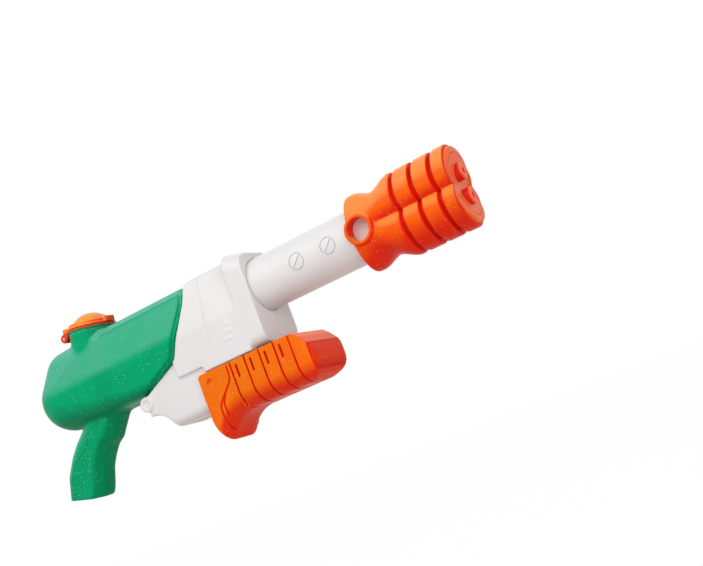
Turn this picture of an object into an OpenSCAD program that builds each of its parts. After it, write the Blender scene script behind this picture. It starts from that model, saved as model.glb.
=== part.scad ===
// Large pump squirter: green tank with a hand grip, white housing and barrel,
// orange sliding pump, flip cap and a twin-lobed spinning head with two jets.
// X points to the muzzle, Z up. The origin is the middle of the hand grip.

/* [Overall] */
// Height of the barrel axis above the middle of the hand grip
barrel_axis_z = 98; // [92:1:108]
// Width of the white housing
housing_w = 64; // [60:1:70]
// Wall of the moulded shells
wall = 2.4; // [1.8:0.1:3]

/* [Tank] */
// Radius of the tank's belly, half of its width
belly_r = 36; // [32:0.5:40]
// Height of the tank
tank_h = 88; // [82:1:96]
// Reach of the tank's top ahead of the hand
tank_tip_x = 203; // [190:1:215]
// Reach of the tank behind the hand
tank_rear = 28; // [24:1:36]
// Radius of the creases along the tank's top
crease_r = 3; // [2.6:0.1:5]
// Half of the flat strip along the tank's top
top_strip = 13; // [8:0.5:18]

/* [Grip] */
// Lean of the hand grip from upright
grip_rake = 33; // [26:1:38]
// Width of the hand grip
grip_w = 36; // [32:1:42]
// Tilt of the grip's flat base
base_tilt = 13; // [8:1:18]

/* [Filler] */
// Position of the filler neck ahead of the hand
neck_x = 60; // [54:1:72]
// Forward lean of the filler neck
neck_tilt = 9; // [0:1:14]
// Bore of the filler neck
neck_bore_d = 37; // [30:0.5:38]
// Height of the green tower under the filler neck
tower_h = 8; // [6:0.5:14]
// Height of the cap's dome above its rim
dome_h = 9.5; // [7:0.5:13]
// Diameter of the cap's hinge pin
hinge_pin_d = 3; // [2.5:0.1:4]

/* [Housing] */
// Reach of the housing's front face ahead of the hand
housing_front_x = 285; // [270:1:300]
// Rise of the housing's top above the tank
housing_rise = 3; // [2:0.5:6]
// Depth of the lower rail that the pump rides on
rail_h = 45; // [42:1:50]
// Diameter of the round boss at the rail's rear end
boss_d = 16; // [12:0.5:19]

/* [Pump] */
// Stroke of the pump
pump_stroke = 55; // [40:1:58]
// Length of the pump grip
pump_l = 134; // [130:1:150]
// Height of the pump grip's side
pump_h = 50; // [46:1:56]
// Wall of the pump grip's shell
pump_wall = 2.8; // [2.4:0.1:3.4]
// Number of grip bands along the pump
pump_bands = 5; // [3:1:7]
// Bore of the pump cylinder
cylinder_bore = 30; // [25:0.5:31]
// Diameter of the piston rod
rod_d = 10; // [7:0.5:12]

/* [Barrel and nozzle] */
// Diameter of the barrel
barrel_d = 55; // [48:0.5:57]
// Length of barrel that shows between the housing and the collar
barrel_show = 121; // [95:1:145]
// Length of the fixed collar
collar_l = 52; // [48:1:62]
// Height of the twin-lobed head
head_h = 82.4; // [78:0.2:90]
// Width of the head across its lobes
head_w = 58; // [57:0.5:66]
// Depth of the valley between the lobes
valley = 9.4; // [5:0.2:11]
// Length of each band of the head
band_w = 16; // [12:0.5:20]
// Width of the ring grooves between the bands
groove_w = 4.5; // [3:0.25:6]
// Depth of the ring grooves
groove_deep = 5.5; // [3:0.25:7]
// Diameter of the two round windows in the collar
window_d = 23; // [18:0.5:25]
// Distance of each jet from the barrel axis
jet_offset = 12; // [10.5:0.5:14]
// Bore of each jet
jet_d = 3; // [2:0.1:4]

/* [Clearances] */
// Radial gap of pieces that turn on a pin or spindle
run_gap = 0.05; // [0.02:0.01:0.1]
// Gap of pieces that slide past each other
slide_gap = 0.5; // [0.4:0.05:0.8]
// Gap of pieces that are assembled into each other
seat_gap = 0.15; // [0.1:0.05:0.25]

/* [Hidden] */

green = [0.0, 0.58, 0.38];
white = [0.93, 0.93, 0.92];
orange = [0.95, 0.38, 0.04];
natural = [0.86, 0.88, 0.88];
rubber = [0.12, 0.12, 0.13];
steel = [0.66, 0.67, 0.69];

right = -1;
left = 1;
far = 400;
eps = 0.01;

// Places along the tank and the grip
tank_top_z = barrel_axis_z + 32;
tank_low_z = tank_top_z - tank_h;
belly_z = tank_low_z + belly_r;
tank_back_x = belly_r - tank_rear;
shoulder_r = 26;
shoulder_x = tank_back_x + 5;
chamfer_w = 5.5;
chamfer_h = 8;
keel_r = 14;
keel_x = 100;
grip_sections = [
    [72, 36, 8], [52, 32.5, -2], [43, 31, -7], [34, 25.5, -11.5],
    [6, 22, -22], [-14, 26, -24], [-44, 28, -17]];
grip_front_r = 10;
grip_back_r = 13;
grip_base_s = -33.5;

// Front edge of the tank, where the housing takes over
edge_low = [122, tank_low_z - 2];
edge_corner = [tank_tip_x - 29, tank_low_z + 21];
edge_high = [tank_tip_x - 3, tank_top_z - 19];
edge_tip = [tank_tip_x, tank_top_z];

// Filler neck and flip cap, measured along the leaning neck
neck_r = neck_bore_d / 2;
spout_r = neck_r + wall;
tower_r = spout_r + 4.6;
flange_t = 2;
ring_t = 1.8;
ring_r = tower_r + 1.2;
spout_h = 4;
cap_rim_r = tower_r;
cap_skirt_r = spout_r + 0.8;
dome_r = cap_skirt_r - 1.7;
cap_low = ring_t + 0.6;
cap_rim_h = 5;
cap_top = cap_low + cap_rim_h;
seal_t = 1.5;
thumb_w = 15;
thumb_l = 5.5;
hinge_back = tower_r + 7;
hinge_up = -4.5;
hinge_r = hinge_pin_d / 2 + 3.3;
knuckle_w = 12;
ear_w = 5;

// Housing, its rail and the screws that close it
half_w = housing_w / 2;
housing_top_z = tank_top_z + housing_rise;
hoop_rise = 5.5;
hoop_x = housing_front_x - 22;
housing_low_z = barrel_axis_z - 54;
hoop_r = 18;
foot_r = 13;
hoop_drop = 0.5;
crest_r = 8;
panel_x = housing_front_x - 61;
dash_x = panel_x + 26;
dash_z = housing_low_z + 28;
pump_half_w = half_w + 1;
rail_half_w = pump_half_w - pump_wall - slide_gap - 1;
rail_r = 10;
rail_low_z = housing_low_z - rail_h;
boss = [edge_low[0] - 1, tank_low_z - 9];
nook_r = 26.5;
nook = [edge_low[0] - 1, rail_low_z - 6];
screw_r = 1.6;
post_r = 4;
head_r = 3.4;
head_sink = 3;
boss_y = rail_half_w + 2;
// Half-width of the housing at a height, just inside its flank
function flank_y(z) = half_w - 0.25 * max(0, z - belly_z);
// Screw posts: X, Z and how far they reach out from the middle
housing_posts = [
    [boss[0], boss[1], boss_y],
    [tank_tip_x + 17, housing_top_z - 14, flank_y(housing_top_z - 14)],
    [housing_front_x - 12, housing_low_z + 9, half_w],
    [hoop_x - 30, housing_low_z + 10, half_w]];

// Pump: rest is the forward stop, as it is seen
pump_x = boss[0] + boss_d / 2 + 10 + pump_stroke;
pump_front_x = pump_x + pump_l;
pump_top_z = housing_low_z - 7;
// The housing's side reaches down to just above the pump
skirt_z = pump_top_z + 1;
skirt_x = pump_x + 10;
pump_low_z = pump_top_z - pump_h;
pump_r = 20;
nose_l = 18;
// Distance from the pump's front and how far its section is drawn in there
nose_steps = [[nose_l, 0], [10, 0.8], [5.5, 2.4], [4, 3.8], [0, 12]];
// Fall of the nose's top and its run towards the front
nose_drop = 15;
nose_run = 13.5;
heel_low_z = pump_low_z - 22;
heel_l = 45;
heel_r = 10;
heel_round = 27;
heel_scoop_r = 37;
band_x = pump_x + 42;
pump_pitch = (pump_l - nose_l - 44) / (pump_bands - 1);
pump_groove = 2.2;
groove_sink = 1.6;
wave_r = 1.6;
wave_off = 0.3;
keel_w = 6;
keel_head_w = 14;
keel_x0 = pump_x + 12;
keel_l = 32;
keel_z = rail_low_z + wall + slide_gap;
keel_t = 2.3;
foot_t = 4;
rod_z = housing_low_z - 20;
nose_x = pump_front_x - nose_l;
trap_t = 3;
trap_r = rod_d / 2 + 2.6;
trap_wall = 3;
rail_front_x = nose_x - trap_wall - pump_stroke - 4;
pump_posts = [
    [pump_x + 9, heel_low_z + 13, pump_half_w - 3],
    [band_x + 2.5 * pump_pitch, pump_low_z + pump_wall + 3, 18],
    [nose_x + trap_t + trap_wall, pump_low_z + 9, 18]];

// Cylinder, valve block and their fittings
bore_r = cylinder_bore / 2;
tube_r = bore_r + 2.5;
gland_l = 12;
tube_x1 = rail_front_x - wall - gland_l + 6;
piston_t = 12;
piston_x1 = tube_x1 - 8;
tube_x0 = piston_x1 - piston_t - pump_stroke - 2;
valve_l = 10;
valve_x0 = tube_x0 - valve_l;
port_y = 11;
port_r = 3.2;
spigot_r = 4;
hose_r = 5.6;
port_wall = 1.6;
port_x = valve_x0 + valve_l / 2;
outlet_z = rod_z + tube_r + 5;
suction_r = 4.2;
rod_r = rod_d / 2;

// Barrel, collar and head along the barrel axis
barrel_r = barrel_d / 2;
barrel_x0 = hoop_x + wall + 1;
collar_x0 = housing_front_x + barrel_show;
collar_x1 = collar_x0 + collar_l;
barrel_x1 = collar_x0 + 24;
bulkhead_t = 3;
window_x = collar_x0 + 11;
window_r = window_d / 2;
ring_face_y = barrel_r + 4.2;
head_x0 = collar_x1 + groove_w;
pitch = band_w + groove_w;
front_band_w = band_w - 3.5;
head_x1 = head_x0 + 2 * pitch + front_band_w;
head_half_h = head_h / 2;
head_half_w = head_w * 0.576;
spindle_r = 6;
spindle_bore = 2.5;
flange_r = 14;
hub_r = 12;
hub_x0 = head_x0 + 4;
hub_l = 26;
hub_flange_r = 14.5;
head_wall = 2.4;
saddle_r = 50;
face_t = 6;
face_x0 = head_x1 - face_t;
jet_r = 8.2;
jet_x1 = head_x1 + 6;

// Number of points round a lofted section
ring_n = 56;

function smooth(t) = let (c = min(1, max(0, t))) c * c * (3 - 2 * c);
function mix(a, b, t) = a + (b - a) * t;

// Radius of the twin-lobed outline at an angle from the side, valley at 0 and 180
function lobe_r(t, half_h, half_w, notch) =
    half_h * half_w / sqrt(pow(half_h * cos(t), 2) + pow(half_w * sin(t), 2))
    - notch * exp(-pow(asin(abs(sin(t))) / 16, 1.3));
function lobe_ring(x, half_h, half_w, notch, grow = 0) = [
    for (i = [0:ring_n - 1])
        let (t = 360 * i / ring_n, r = lobe_r(t, half_h, half_w, notch) + grow)
            [x, r * cos(t), barrel_axis_z + r * sin(t)]];
function head_ring(x, grow = 0) = lobe_ring(x, head_half_h, head_half_w, valley, grow);

// Collar: flange, neck and flare along its length
function collar_half_h(u) = u < 0.5
    ? mix(head_half_h - 2.2, head_half_h - 8.5, smooth((u - 0.12) / 0.38))
    : mix(head_half_h - 8.5, head_half_h, smooth((u - 0.5) / 0.44));
function collar_ring(u, grow = 0) = lobe_ring(
    collar_x0 + u * collar_l, collar_half_h(u), mix(ring_face_y - 1.2, head_half_w, smooth(u)),
    valley * smooth((u - 0.25) / 0.55), grow);

// Closed solid through a list of rings of points
module loft(rings) {
    n = len(rings[0]);
    m = len(rings);
    polyhedron(
        points = [for (r = rings) each r],
        faces = concat(
            [[for (i = [0:n - 1]) i]],
            [[for (i = [n - 1:-1:0]) (m - 1) * n + i]],
            [for (k = [0:m - 2], i = [0:n - 1])
                [k * n + i, (k + 1) * n + i, (k + 1) * n + (i + 1) % n]],
            [for (k = [0:m - 2], i = [0:n - 1])
                [k * n + i, (k + 1) * n + (i + 1) % n, k * n + (i + 1) % n]]));
}

// Solid round tube along a path of points, with its own ring at each point
function unit(v) = v / norm(v);
function tangent(p, i) = unit(p[min(i + 1, len(p) - 1)] - p[max(i - 1, 0)]);
function tube_ring(c, d, r, n) =
    let (u = unit(cross(d, [0, 1, 0.001])), v = cross(d, u))
        [for (i = [0:n - 1]) c + r * (cos(360 * i / n) * u + sin(360 * i / n) * v)];
module tube(path, r, n = 10) {
    loft([for (i = [0:len(path) - 1]) tube_ring(path[i], tangent(path, i), r, n)]);
}
// Points of a smooth run between two ends with given headings
function run(a, ad, b, bd, steps) = [
    for (k = [0:steps])
        let (t = k / steps, h0 = 2 * t * t * t - 3 * t * t + 1, h1 = t * t * t - 2 * t * t + t,
             h2 = 3 * t * t - 2 * t * t * t, h3 = t * t * t - t * t)
            h0 * a + h1 * ad + h2 * b + h3 * bd];

module along_x(x, z = barrel_axis_z, y = 0) { translate([x, y, z]) rotate([0, 90, 0]) children(); }
module rod_x(x0, x1, r, z = barrel_axis_z, y = 0) {
    along_x(x0, z, y) cylinder(r = r, h = x1 - x0, $fn = 64);
}
module pipe_x(x0, x1, r, r_in, z = barrel_axis_z) {
    difference() {
        rod_x(x0, x1, r, z);
        rod_x(x0 - 1, x1 + 1, r_in, z);
    }
}
module rod_y(p, y0, y1, r, fine = 48) {
    translate([p[0], y0, p[1]]) rotate([-90, 0, 0]) cylinder(r = r, h = y1 - y0, $fn = fine);
}
// Upright outline in the plane of X and Z, given width in Y about the middle
module side_plate(w) { translate([0, w / 2, 0]) rotate([90, 0, 0]) linear_extrude(w) children(); }
// Outline in the plane of Y and Z, carried along X
module section_run(x0, x1) { translate([x0, 0, 0]) rotate([90, 0, 90]) linear_extrude(x1 - x0) children(); }
module half_space(side) { translate([-far, side > 0 ? 0 : -far, -far]) cube([3 * far, far, 2 * far]); }
module on_neck() { translate([neck_x, 0, tank_top_z]) rotate([0, neck_tilt, 0]) children(); }

// Tank

// Region behind the tank's front edge
module tank_side(inset) {
    offset(delta = -inset)
        polygon([[-far / 4, -far / 2], [edge_low[0], -far / 2], edge_low, edge_corner, edge_high, edge_tip,
            [edge_tip[0], tank_top_z + 40], [-far / 4, tank_top_z + 40]]);
}
module tank_bulk(inset, fine) {
    hull() {
        translate([tank_back_x, 0, belly_z]) sphere(belly_r - inset, $fn = fine);
        translate([shoulder_x, 0, tank_top_z - shoulder_r]) sphere(shoulder_r - inset, $fn = fine);
        rod_end(tank_tip_x + 6, belly_z, 0, belly_r - inset, fine);
        for (s = [-1, 1]) {
            for (c = [[top_strip, 0], [top_strip + chamfer_w, chamfer_h]]) {
                rod_end(tank_tip_x + 6, tank_top_z - crease_r - c[1], s * c[0], crease_r - inset, 16);
                translate([neck_x, s * c[0], tank_top_z - crease_r - c[1]])
                    sphere(crease_r - inset, $fn = 16);
            }
            rod_end(tank_tip_x + 6, tank_low_z + keel_r, s * (belly_r - 2 - keel_r), keel_r - inset, fine);
            translate([keel_x, s * (belly_r - 2 - keel_r), tank_low_z + keel_r])
                sphere(keel_r - inset, $fn = fine);
        }
    }
}
module rod_end(x, z, y, r, fine) { along_x(x, z, y) cylinder(r = r, h = 1, $fn = fine); }
// One slice of the grip, from its distance along the grip and its two straps
module grip_slice(g, inset) {
    up = [sin(grip_rake), 0, cos(grip_rake)];
    fore = [cos(grip_rake), 0, -sin(grip_rake)];
    for (s = [-1, 1]) {
        translate(g[0] * up + (g[1] - grip_front_r) * fore + [0, s * (grip_w / 2 - grip_front_r), 0])
            sphere(grip_front_r - inset, $fn = 20);
        translate(g[0] * up + (g[2] + grip_back_r) * fore + [0, s * (grip_w / 2 - grip_back_r), 0])
            sphere(grip_back_r - inset, $fn = 20);
    }
}
module grip_bulk(inset) {
    for (i = [0:len(grip_sections) - 2])
        hull() {
            grip_slice(grip_sections[i], inset);
            grip_slice(grip_sections[i + 1], inset);
        }
}
module above_base(inset) {
    translate([0, 0, grip_base_s + inset]) rotate([0, base_tilt, 0])
        translate([-far, -far / 2, 0]) cube([2 * far, far, far]);
}
module tank_solid(inset, fine) {
    intersection() {
        union() {
            tank_bulk(inset, fine);
            grip_bulk(inset);
            on_neck() translate([0, 0, -20])
                cylinder(r = tower_r - inset, h = tower_h + 20 + (inset > 0 ? 1 : 0), $fn = 48);
        }
        side_plate(far) tank_side(inset);
        above_base(inset);
    }
}
module tank_half(side) {
    difference() {
        intersection() {
            tank_solid(0, 36);
            half_space(side);
        }
        tank_solid(wall, 26);
        translate([port_x, -port_y, tank_low_z - 20]) cylinder(r = grommet_r + 0.05, h = 60, $fn = 32);
    }
}
module tank_right() { color(green) tank_half(right); }
module tank_left() { color(green) tank_half(left); }

// Filler neck and flip cap

module fill_neck() {
    color(green) on_neck() translate([0, 0, tower_h]) difference() {
        union() {
            cylinder(r = tower_r, h = flange_t, $fn = 64);
            translate([0, 0, -tower_h]) cylinder(r = spout_r, h = tower_h + flange_t + spout_h, $fn = 64);
        }
        translate([0, 0, -far]) cylinder(r = neck_r, h = 2 * far, $fn = 64);
    }
}
module on_flange() { on_neck() translate([0, 0, tower_h + flange_t]) children(); }
module hinge_rod(r, w, y = 0) {
    translate([-hinge_back, y - w / 2, hinge_up]) rotate([-90, 0, 0]) cylinder(r = r, h = w, $fn = 40);
}
// Arm from a round piece back to the hinge
module hinge_arm(from_r, w, y, z0, t) {
    translate([-hinge_back, y - w / 2, z0]) cube([hinge_back - from_r, w, t]);
}
module cap_ring() {
    color(orange) on_flange() difference() {
        union() {
            cylinder(r = ring_r, h = ring_t, $fn = 64);
            for (s = [-1, 1]) {
                hinge_rod(hinge_r, ear_w, s * (knuckle_w + ear_w + 1) / 2);
                hinge_arm(tower_r - 3, ear_w, s * (knuckle_w + ear_w + 1) / 2, 0, ring_t);
                hinge_arm(tower_r + 0.3, ear_w, s * (knuckle_w + ear_w + 1) / 2, hinge_up, eps - hinge_up);
            }
        }
        translate([0, 0, -1]) cylinder(r = spout_r + seat_gap, h = far, $fn = 64);
        hinge_rod(hinge_pin_d / 2, far);
    }
}
module cap_hinge_pin() { color(steel) on_flange() hinge_rod(hinge_pin_d / 2, knuckle_w + 2 * ear_w + 1); }
module fill_cap() {
    seal_top = spout_h + 0.3 + seal_t;
    dome_big = (dome_r * dome_r + dome_h * dome_h) / (2 * dome_h);
    color(orange) on_flange() difference() {
        union() {
            rotate_extrude($fn = 64) polygon([
                [0, cap_low], [cap_rim_r, cap_low], [cap_rim_r, cap_low + 1],
                [cap_rim_r - 0.9, cap_low + 1.9],
                [cap_rim_r - 0.9, cap_top - 0.8], [cap_rim_r - 1.7, cap_top], [0, cap_top]]);
            translate([0, 0, cap_top]) intersection() {
                translate([0, 0, dome_h - dome_big]) sphere(dome_big, $fn = 64);
                cylinder(r = dome_r, h = dome_h, $fn = 64);
            }
            thumb_tab();
            difference() {
                cap_strap();
                translate([0, 0, -far]) cylinder(r = cap_skirt_r, h = 2 * far, $fn = 64);
            }
        }
        translate([0, 0, -1]) cylinder(r = cap_skirt_r, h = 1 + seal_top, $fn = 64);
        intersection() {
            translate([0, 0, cap_top + dome_h - dome_big]) sphere(dome_big - wall, $fn = 64);
            translate([0, 0, seal_top - 1]) cylinder(r = neck_r - 3, h = far, $fn = 64);
        }
        hinge_rod(hinge_pin_d / 2 + run_gap, far);
    }
}
// Tab at the front of the cap's rim, with rounded corners
module thumb_tab() {
    for (s = [-1, 1])
        translate([ring_r - 1.5, s * (thumb_w / 2 - 3), cap_low])
            cylinder(r = 3, h = cap_rim_h + 1, $fn = 32);
    translate([ring_r - thumb_l, -thumb_w / 2, cap_low]) cube([thumb_l - 1.5, thumb_w, cap_rim_h + 1]);
    translate([ring_r - thumb_l, 3 - thumb_w / 2, cap_low]) cube([thumb_l + 1.5, thumb_w - 6, cap_rim_h + 1]);
}
// Strap from the cap's rim back and down to the hinge
module cap_strap() {
    hinge_rod(hinge_r, knuckle_w);
    hinge_arm(cap_rim_r - 4, knuckle_w, 0, cap_low, cap_rim_h - 1);
    translate([-hinge_back - hinge_r, -knuckle_w / 2, hinge_up])
        cube([2 * hinge_r, knuckle_w, cap_low + cap_rim_h - 1 - hinge_up]);
}
module cap_seal() {
    color(rubber) on_flange() translate([0, 0, spout_h + 0.3]) difference() {
        cylinder(r = cap_skirt_r, h = seal_t, $fn = 64);
        translate([0, 0, -1]) cylinder(r = neck_r - 4, h = far, $fn = 64);
    }
}

// Housing

// Point on the tank's lower front edge, by its share of the way to the corner
function edge_at(t) = edge_low + t * (edge_corner - edge_low);
module housing_side(inset) {
    offset(delta = -inset) polygon([
        edge_corner, edge_high, [edge_tip[0] + 3, edge_tip[1]],
        [edge_tip[0] + 9, housing_top_z], [hoop_x + 2, housing_top_z],
        [hoop_x + 2, skirt_z], [skirt_x, skirt_z], [skirt_x, housing_low_z],
        [edge_at(0.94)[0], housing_low_z], edge_at(0.94)]);
}
// Egg-shaped section behind the hoop, a little inside the tank
module housing_section(inset) {
    translate([inset - half_w, rail_low_z]) square([2 * (half_w - inset), belly_z - rail_low_z]);
    hull() {
        translate([0, belly_z]) circle(half_w - inset, $fn = 64);
        for (s = [-1, 1])
            translate([s * top_strip, housing_top_z - crest_r]) circle(crest_r - inset, $fn = 32);
    }
}
// Hoop that carries the barrel, its top falling towards the front and its foot rounded
module hoop_section(inset, top_z) {
    hull() for (s = [-1, 1]) {
        translate([s * (half_w - hoop_r), top_z - hoop_r]) circle(hoop_r - inset, $fn = 48);
        translate([s * (half_w - foot_r), skirt_z + foot_r]) circle(foot_r - inset, $fn = 36);
    }
}
module hoop(inset) {
    hull() {
        translate([hoop_x + inset, 0, 0])
            section_run(0, eps) hoop_section(inset, housing_top_z + hoop_rise);
        translate([housing_front_x - inset - eps, 0, 0])
            section_run(0, eps) hoop_section(inset, housing_top_z - hoop_drop);
    }
}
module rail_side(inset) {
    difference() {
        offset(delta = -inset) polygon([
            edge_low, edge_at(0.94),
            [rail_front_x, housing_low_z + 3 + 2 * inset], [rail_front_x, rail_low_z],
            [edge_low[0] + 24, rail_low_z], [edge_low[0] - 2, rail_low_z + 16]]);
        translate(nook) circle(nook_r + inset, $fn = 96);
    }
}
module rail_section(inset) {
    w = rail_half_w - inset;
    r = rail_r - inset;
    for (s = [-1, 1]) translate([s * (w - r), rail_low_z + rail_r]) circle(r, $fn = 48);
    translate([-w, rail_low_z + rail_r]) square([2 * w, far / 4]);
    translate([r - w, rail_low_z + inset]) square([2 * (w - r), far / 4]);
}
module housing_solid(inset) {
    intersection() {
        side_plate(far) housing_side(inset);
        section_run(0, far) housing_section(inset);
    }
    hoop(inset);
    if (inset > 0) section_run(hoop_x - 6, hoop_x + 8) intersection() {
        hoop_section(inset, housing_top_z);
        housing_section(inset);
    }
    intersection() {
        side_plate(far) rail_side(inset);
        section_run(0, far) rail_section(inset);
    }
}
module housing_half(side) {
    difference() {
        union() {
            difference() {
                union() {
                    intersection() {
                        housing_solid(0);
                        half_space(side);
                    }
                    rod_y(boss, side > 0 ? 0 : -boss_y, side > 0 ? boss_y : 0, boss_d / 2);
                }
                housing_solid(wall);
            }
            for (p = housing_posts) rod_y(p, side > 0 ? 0 : 1 - p[2], side > 0 ? p[2] - 1 : 0, post_r);
            cylinder_seats(side);
            side_dashes(side);
        }
        rod_x(housing_front_x - 2 * wall, far, barrel_r + seat_gap);
        rod_x(rail_front_x - 2 * wall, far, rod_r + 3, rod_z);
        panel_line();
        keel_slot();
        translate([port_x, -port_y, rod_z]) cylinder(r = grommet_r + seat_gap, h = far / 4, $fn = 32);
        for (p = housing_posts) screw_cut(p, side);
        if (side < 0) rod_y(boss, -boss_y - 1, 1.2 - boss_y, boss_d * 0.28);
    }
}
// Screws come in from the left: through hole and sunk head there, pilot on the right
module screw_cut(p, side) {
    rod_y(p, side > 0 ? -1 : -p[2] / 2, side > 0 ? p[2] : 1, screw_r, 16);
    if (side > 0) rod_y(p, p[2] - head_sink - 2, p[2] + 20, head_r + 0.2, 16);
}
module screw_group(posts) {
    color(steel) for (p = posts) {
        rod_y(p, -p[2] / 2 + 1, p[2] - head_sink - 1, screw_r - 0.1);
        rod_y(p, p[2] - head_sink - 2, p[2] - head_sink, head_r);
    }
}
// Half-round seats that carry the pump cylinder inside the rail
module cylinder_seats(side) {
    for (x = [tube_x0 + 8, tube_x1 - 18]) intersection() {
        difference() {
            section_run(x, x + 3) rail_section(1);
            rod_x(x - 1, x + 5, tube_r + seat_gap, rod_z);
            translate([x - 1, -keel_head_w / 2 - 1.5, rail_low_z])
                cube([5, keel_head_w + 3, keel_z + keel_t + 1 - rail_low_z]);
        }
        half_space(side);
        translate([0, -far / 2, rail_low_z]) cube([far, far, rod_z - rail_low_z]);
    }
}
// Three raised dashes on the housing's side, longer towards the bottom
module side_dashes(side) {
    for (k = [0:2])
        translate([dash_x - 4 - 3 * k, side > 0 ? half_w - 0.5 : -half_w - 0.7, dash_z - 7.5 * k])
            cube([4 + 3 * k, 1.2, 1.8]);
}
// Thin moulded line round the housing
module panel_line() {
    section_run(panel_x - 0.5, panel_x + 0.5) difference() {
        translate([-far / 2, housing_low_z + 7]) square([far, far]);
        housing_section(0.7);
    }
}
// Slot in the rail's floor for the pump's keel
module keel_slot() {
    translate([keel_x0 - pump_stroke - 1, -keel_w / 2 - slide_gap, rail_low_z - 1])
        cube([far, keel_w + 2 * slide_gap, wall + 2]);
}
module housing_right() { color(white) housing_half(right); }
module housing_left() { color(white) housing_half(left); }
module housing_screws() { screw_group(housing_posts); }

// Barrel and fixed nozzle collar

module barrel_tube() {
    color(white) {
        difference() {
            union() {
                rod_x(barrel_x0, barrel_x1, barrel_r);
                rod_x(housing_front_x - wall - 3, housing_front_x - wall, barrel_r + 1.5);
                for (s = [-1, 1]) rod_y([window_x, barrel_axis_z], s > 0 ? 0 : -barrel_r - 0.6,
                    s > 0 ? barrel_r + 0.6 : 0, window_r - 0.4);
            }
            rod_x(barrel_x0 - 1, barrel_x1 - bulkhead_t, barrel_r - wall);
            rod_x(barrel_x0 - 1, far * 2, spigot_r + 0.2);
            for (x = mark_places()) barrel_mark(x);
        }
    }
}
// Round moulded mark on the barrel's right side: a ring with one slanting stroke
function mark_places() = [housing_front_x + 58, housing_front_x + 95];
module barrel_mark(x) {
    difference() {
        union() {
            difference() {
                rod_y([x, barrel_axis_z], -barrel_r - 1, 0, 8.5);
                rod_y([x, barrel_axis_z], -barrel_r - 2, 1, 7.5);
            }
            translate([x, -barrel_r / 2 - 1, barrel_axis_z]) rotate([0, 45, 0])
                cube([13, barrel_r, 1], center = true);
        }
        rod_x(x - 20, x + 20, barrel_r - 0.5);
    }
}
module nozzle_collar() {
    color(orange) difference() {
        union() {
            loft([
                collar_ring(0, -1.2), for (k = [0:10]) collar_ring(0.02 + 0.096 * k), collar_ring(1, -1.2)]);
            loft([head_ring(collar_x1 - 3, -groove_deep), head_ring(head_x0 - 0.4, -groove_deep)]);
            for (s = [-1, 1]) rod_y([window_x, barrel_axis_z], s > 0 ? 20 : -ring_face_y,
                s > 0 ? ring_face_y : -20, window_r + 3.4);
        }
        rod_x(collar_x0 - 10, barrel_x1, barrel_r + seat_gap);
        rod_x(barrel_x1 - 1, collar_x1 - 6, flange_r + 4);
        rod_x(collar_x0, far * 2, spindle_r + 0.6);
        rod_y([window_x, barrel_axis_z], -far / 2, far / 2, window_r);
    }
}

// Spindle that carries the head and feeds it

module spindle() {
    color(natural) difference() {
        union() {
            rod_x(barrel_x1 - bulkhead_t - 16, barrel_x1, spigot_r);
            rod_x(barrel_x1, barrel_x1 + 3, flange_r);
            rod_x(barrel_x1 + 3, hub_x0 + hub_l + 3.2, spindle_r);
        }
        rod_x(barrel_x1 - far / 4, hub_x0 + hub_l - 2, spindle_bore);
        for (x = seal_places()) pipe_x(x - 1.3, x + 1.3, spindle_r + 1, spindle_r - 1.6);
        translate([hub_x0 + hub_l / 2, 0, barrel_axis_z - spindle_r - 1])
            cylinder(r = 2, h = 2 * spindle_r + 2, $fn = 24);
    }
}
function seal_places() = [hub_x0 + 5, hub_x0 + hub_l - 5];
module spindle_seals() {
    color(rubber) for (x = seal_places()) pipe_x(x - 1.2, x + 1.2, spindle_r + run_gap / 2, spindle_r - 1.6);
}
module spindle_clip() {
    x = hub_x0 + hub_l + 0.3;
    color(steel) pipe_x(x, x + 1.2, spindle_r + 3, spindle_r);
}

// Pump cylinder and its valves

module pump_cylinder() { color(natural) pipe_x(tube_x0, tube_x1, tube_r, bore_r, rod_z); }
module cylinder_gland() {
    x1 = rail_front_x - wall;
    color(natural) difference() {
        union() {
            rod_x(tube_x1, x1, tube_r, rod_z);
            rod_x(tube_x1 - 5, tube_x1 + 1, bore_r, rod_z);
        }
        rod_x(tube_x1 - 10, x1 + 1, rod_r + 0.1, rod_z);
        rod_x(tube_x1 - 6, tube_x1 - 2.4, rod_r + 2.6, rod_z);
    }
}
module rod_seal() { color(rubber) pipe_x(tube_x1 - 4.8, tube_x1 - 2.4, rod_r + 2.6, rod_r + run_gap, rod_z); }
module valve_block() {
    color(natural) difference() {
        union() {
            rod_x(valve_x0, tube_x0, tube_r, rod_z);
            rod_x(tube_x0 - 1, tube_x0 + 1.4, bore_r, rod_z);
            translate([port_x, -port_y, rod_z])
                cylinder(r = port_r + port_wall, h = suction_z - rod_z, $fn = 40);
            translate([port_x, port_y, rod_z])
                cylinder(r = port_r + port_wall, h = outlet_z + 2.2 - rod_z, $fn = 40);
            rod_x(port_x, port_x + 20, spigot_r, outlet_z, port_y);
        }
        translate([port_x, -port_y, rod_z - 3]) cylinder(r = port_r, h = far, $fn = 40);
        translate([port_x, port_y, rod_z - 3]) cylinder(r = port_r, h = outlet_z - rod_z + 3, $fn = 40);
        rod_x(port_x, port_x + 21, spindle_bore, outlet_z, port_y);
        for (s = [-1, 1]) rod_x(port_x, tube_x0 + 2, port_r - 0.8, rod_z - 0.5, s * port_y);
    }
}
module valve_disc(x, y, z) {
    color(rubber) translate([x, y, z]) cylinder(r = port_r, h = 1.2, $fn = 40);
}
module inlet_valve() { valve_disc(port_x, -port_y, rod_z + 10); }
module outlet_valve() { valve_disc(port_x, port_y, rod_z + 10); }

// Water ways

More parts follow.
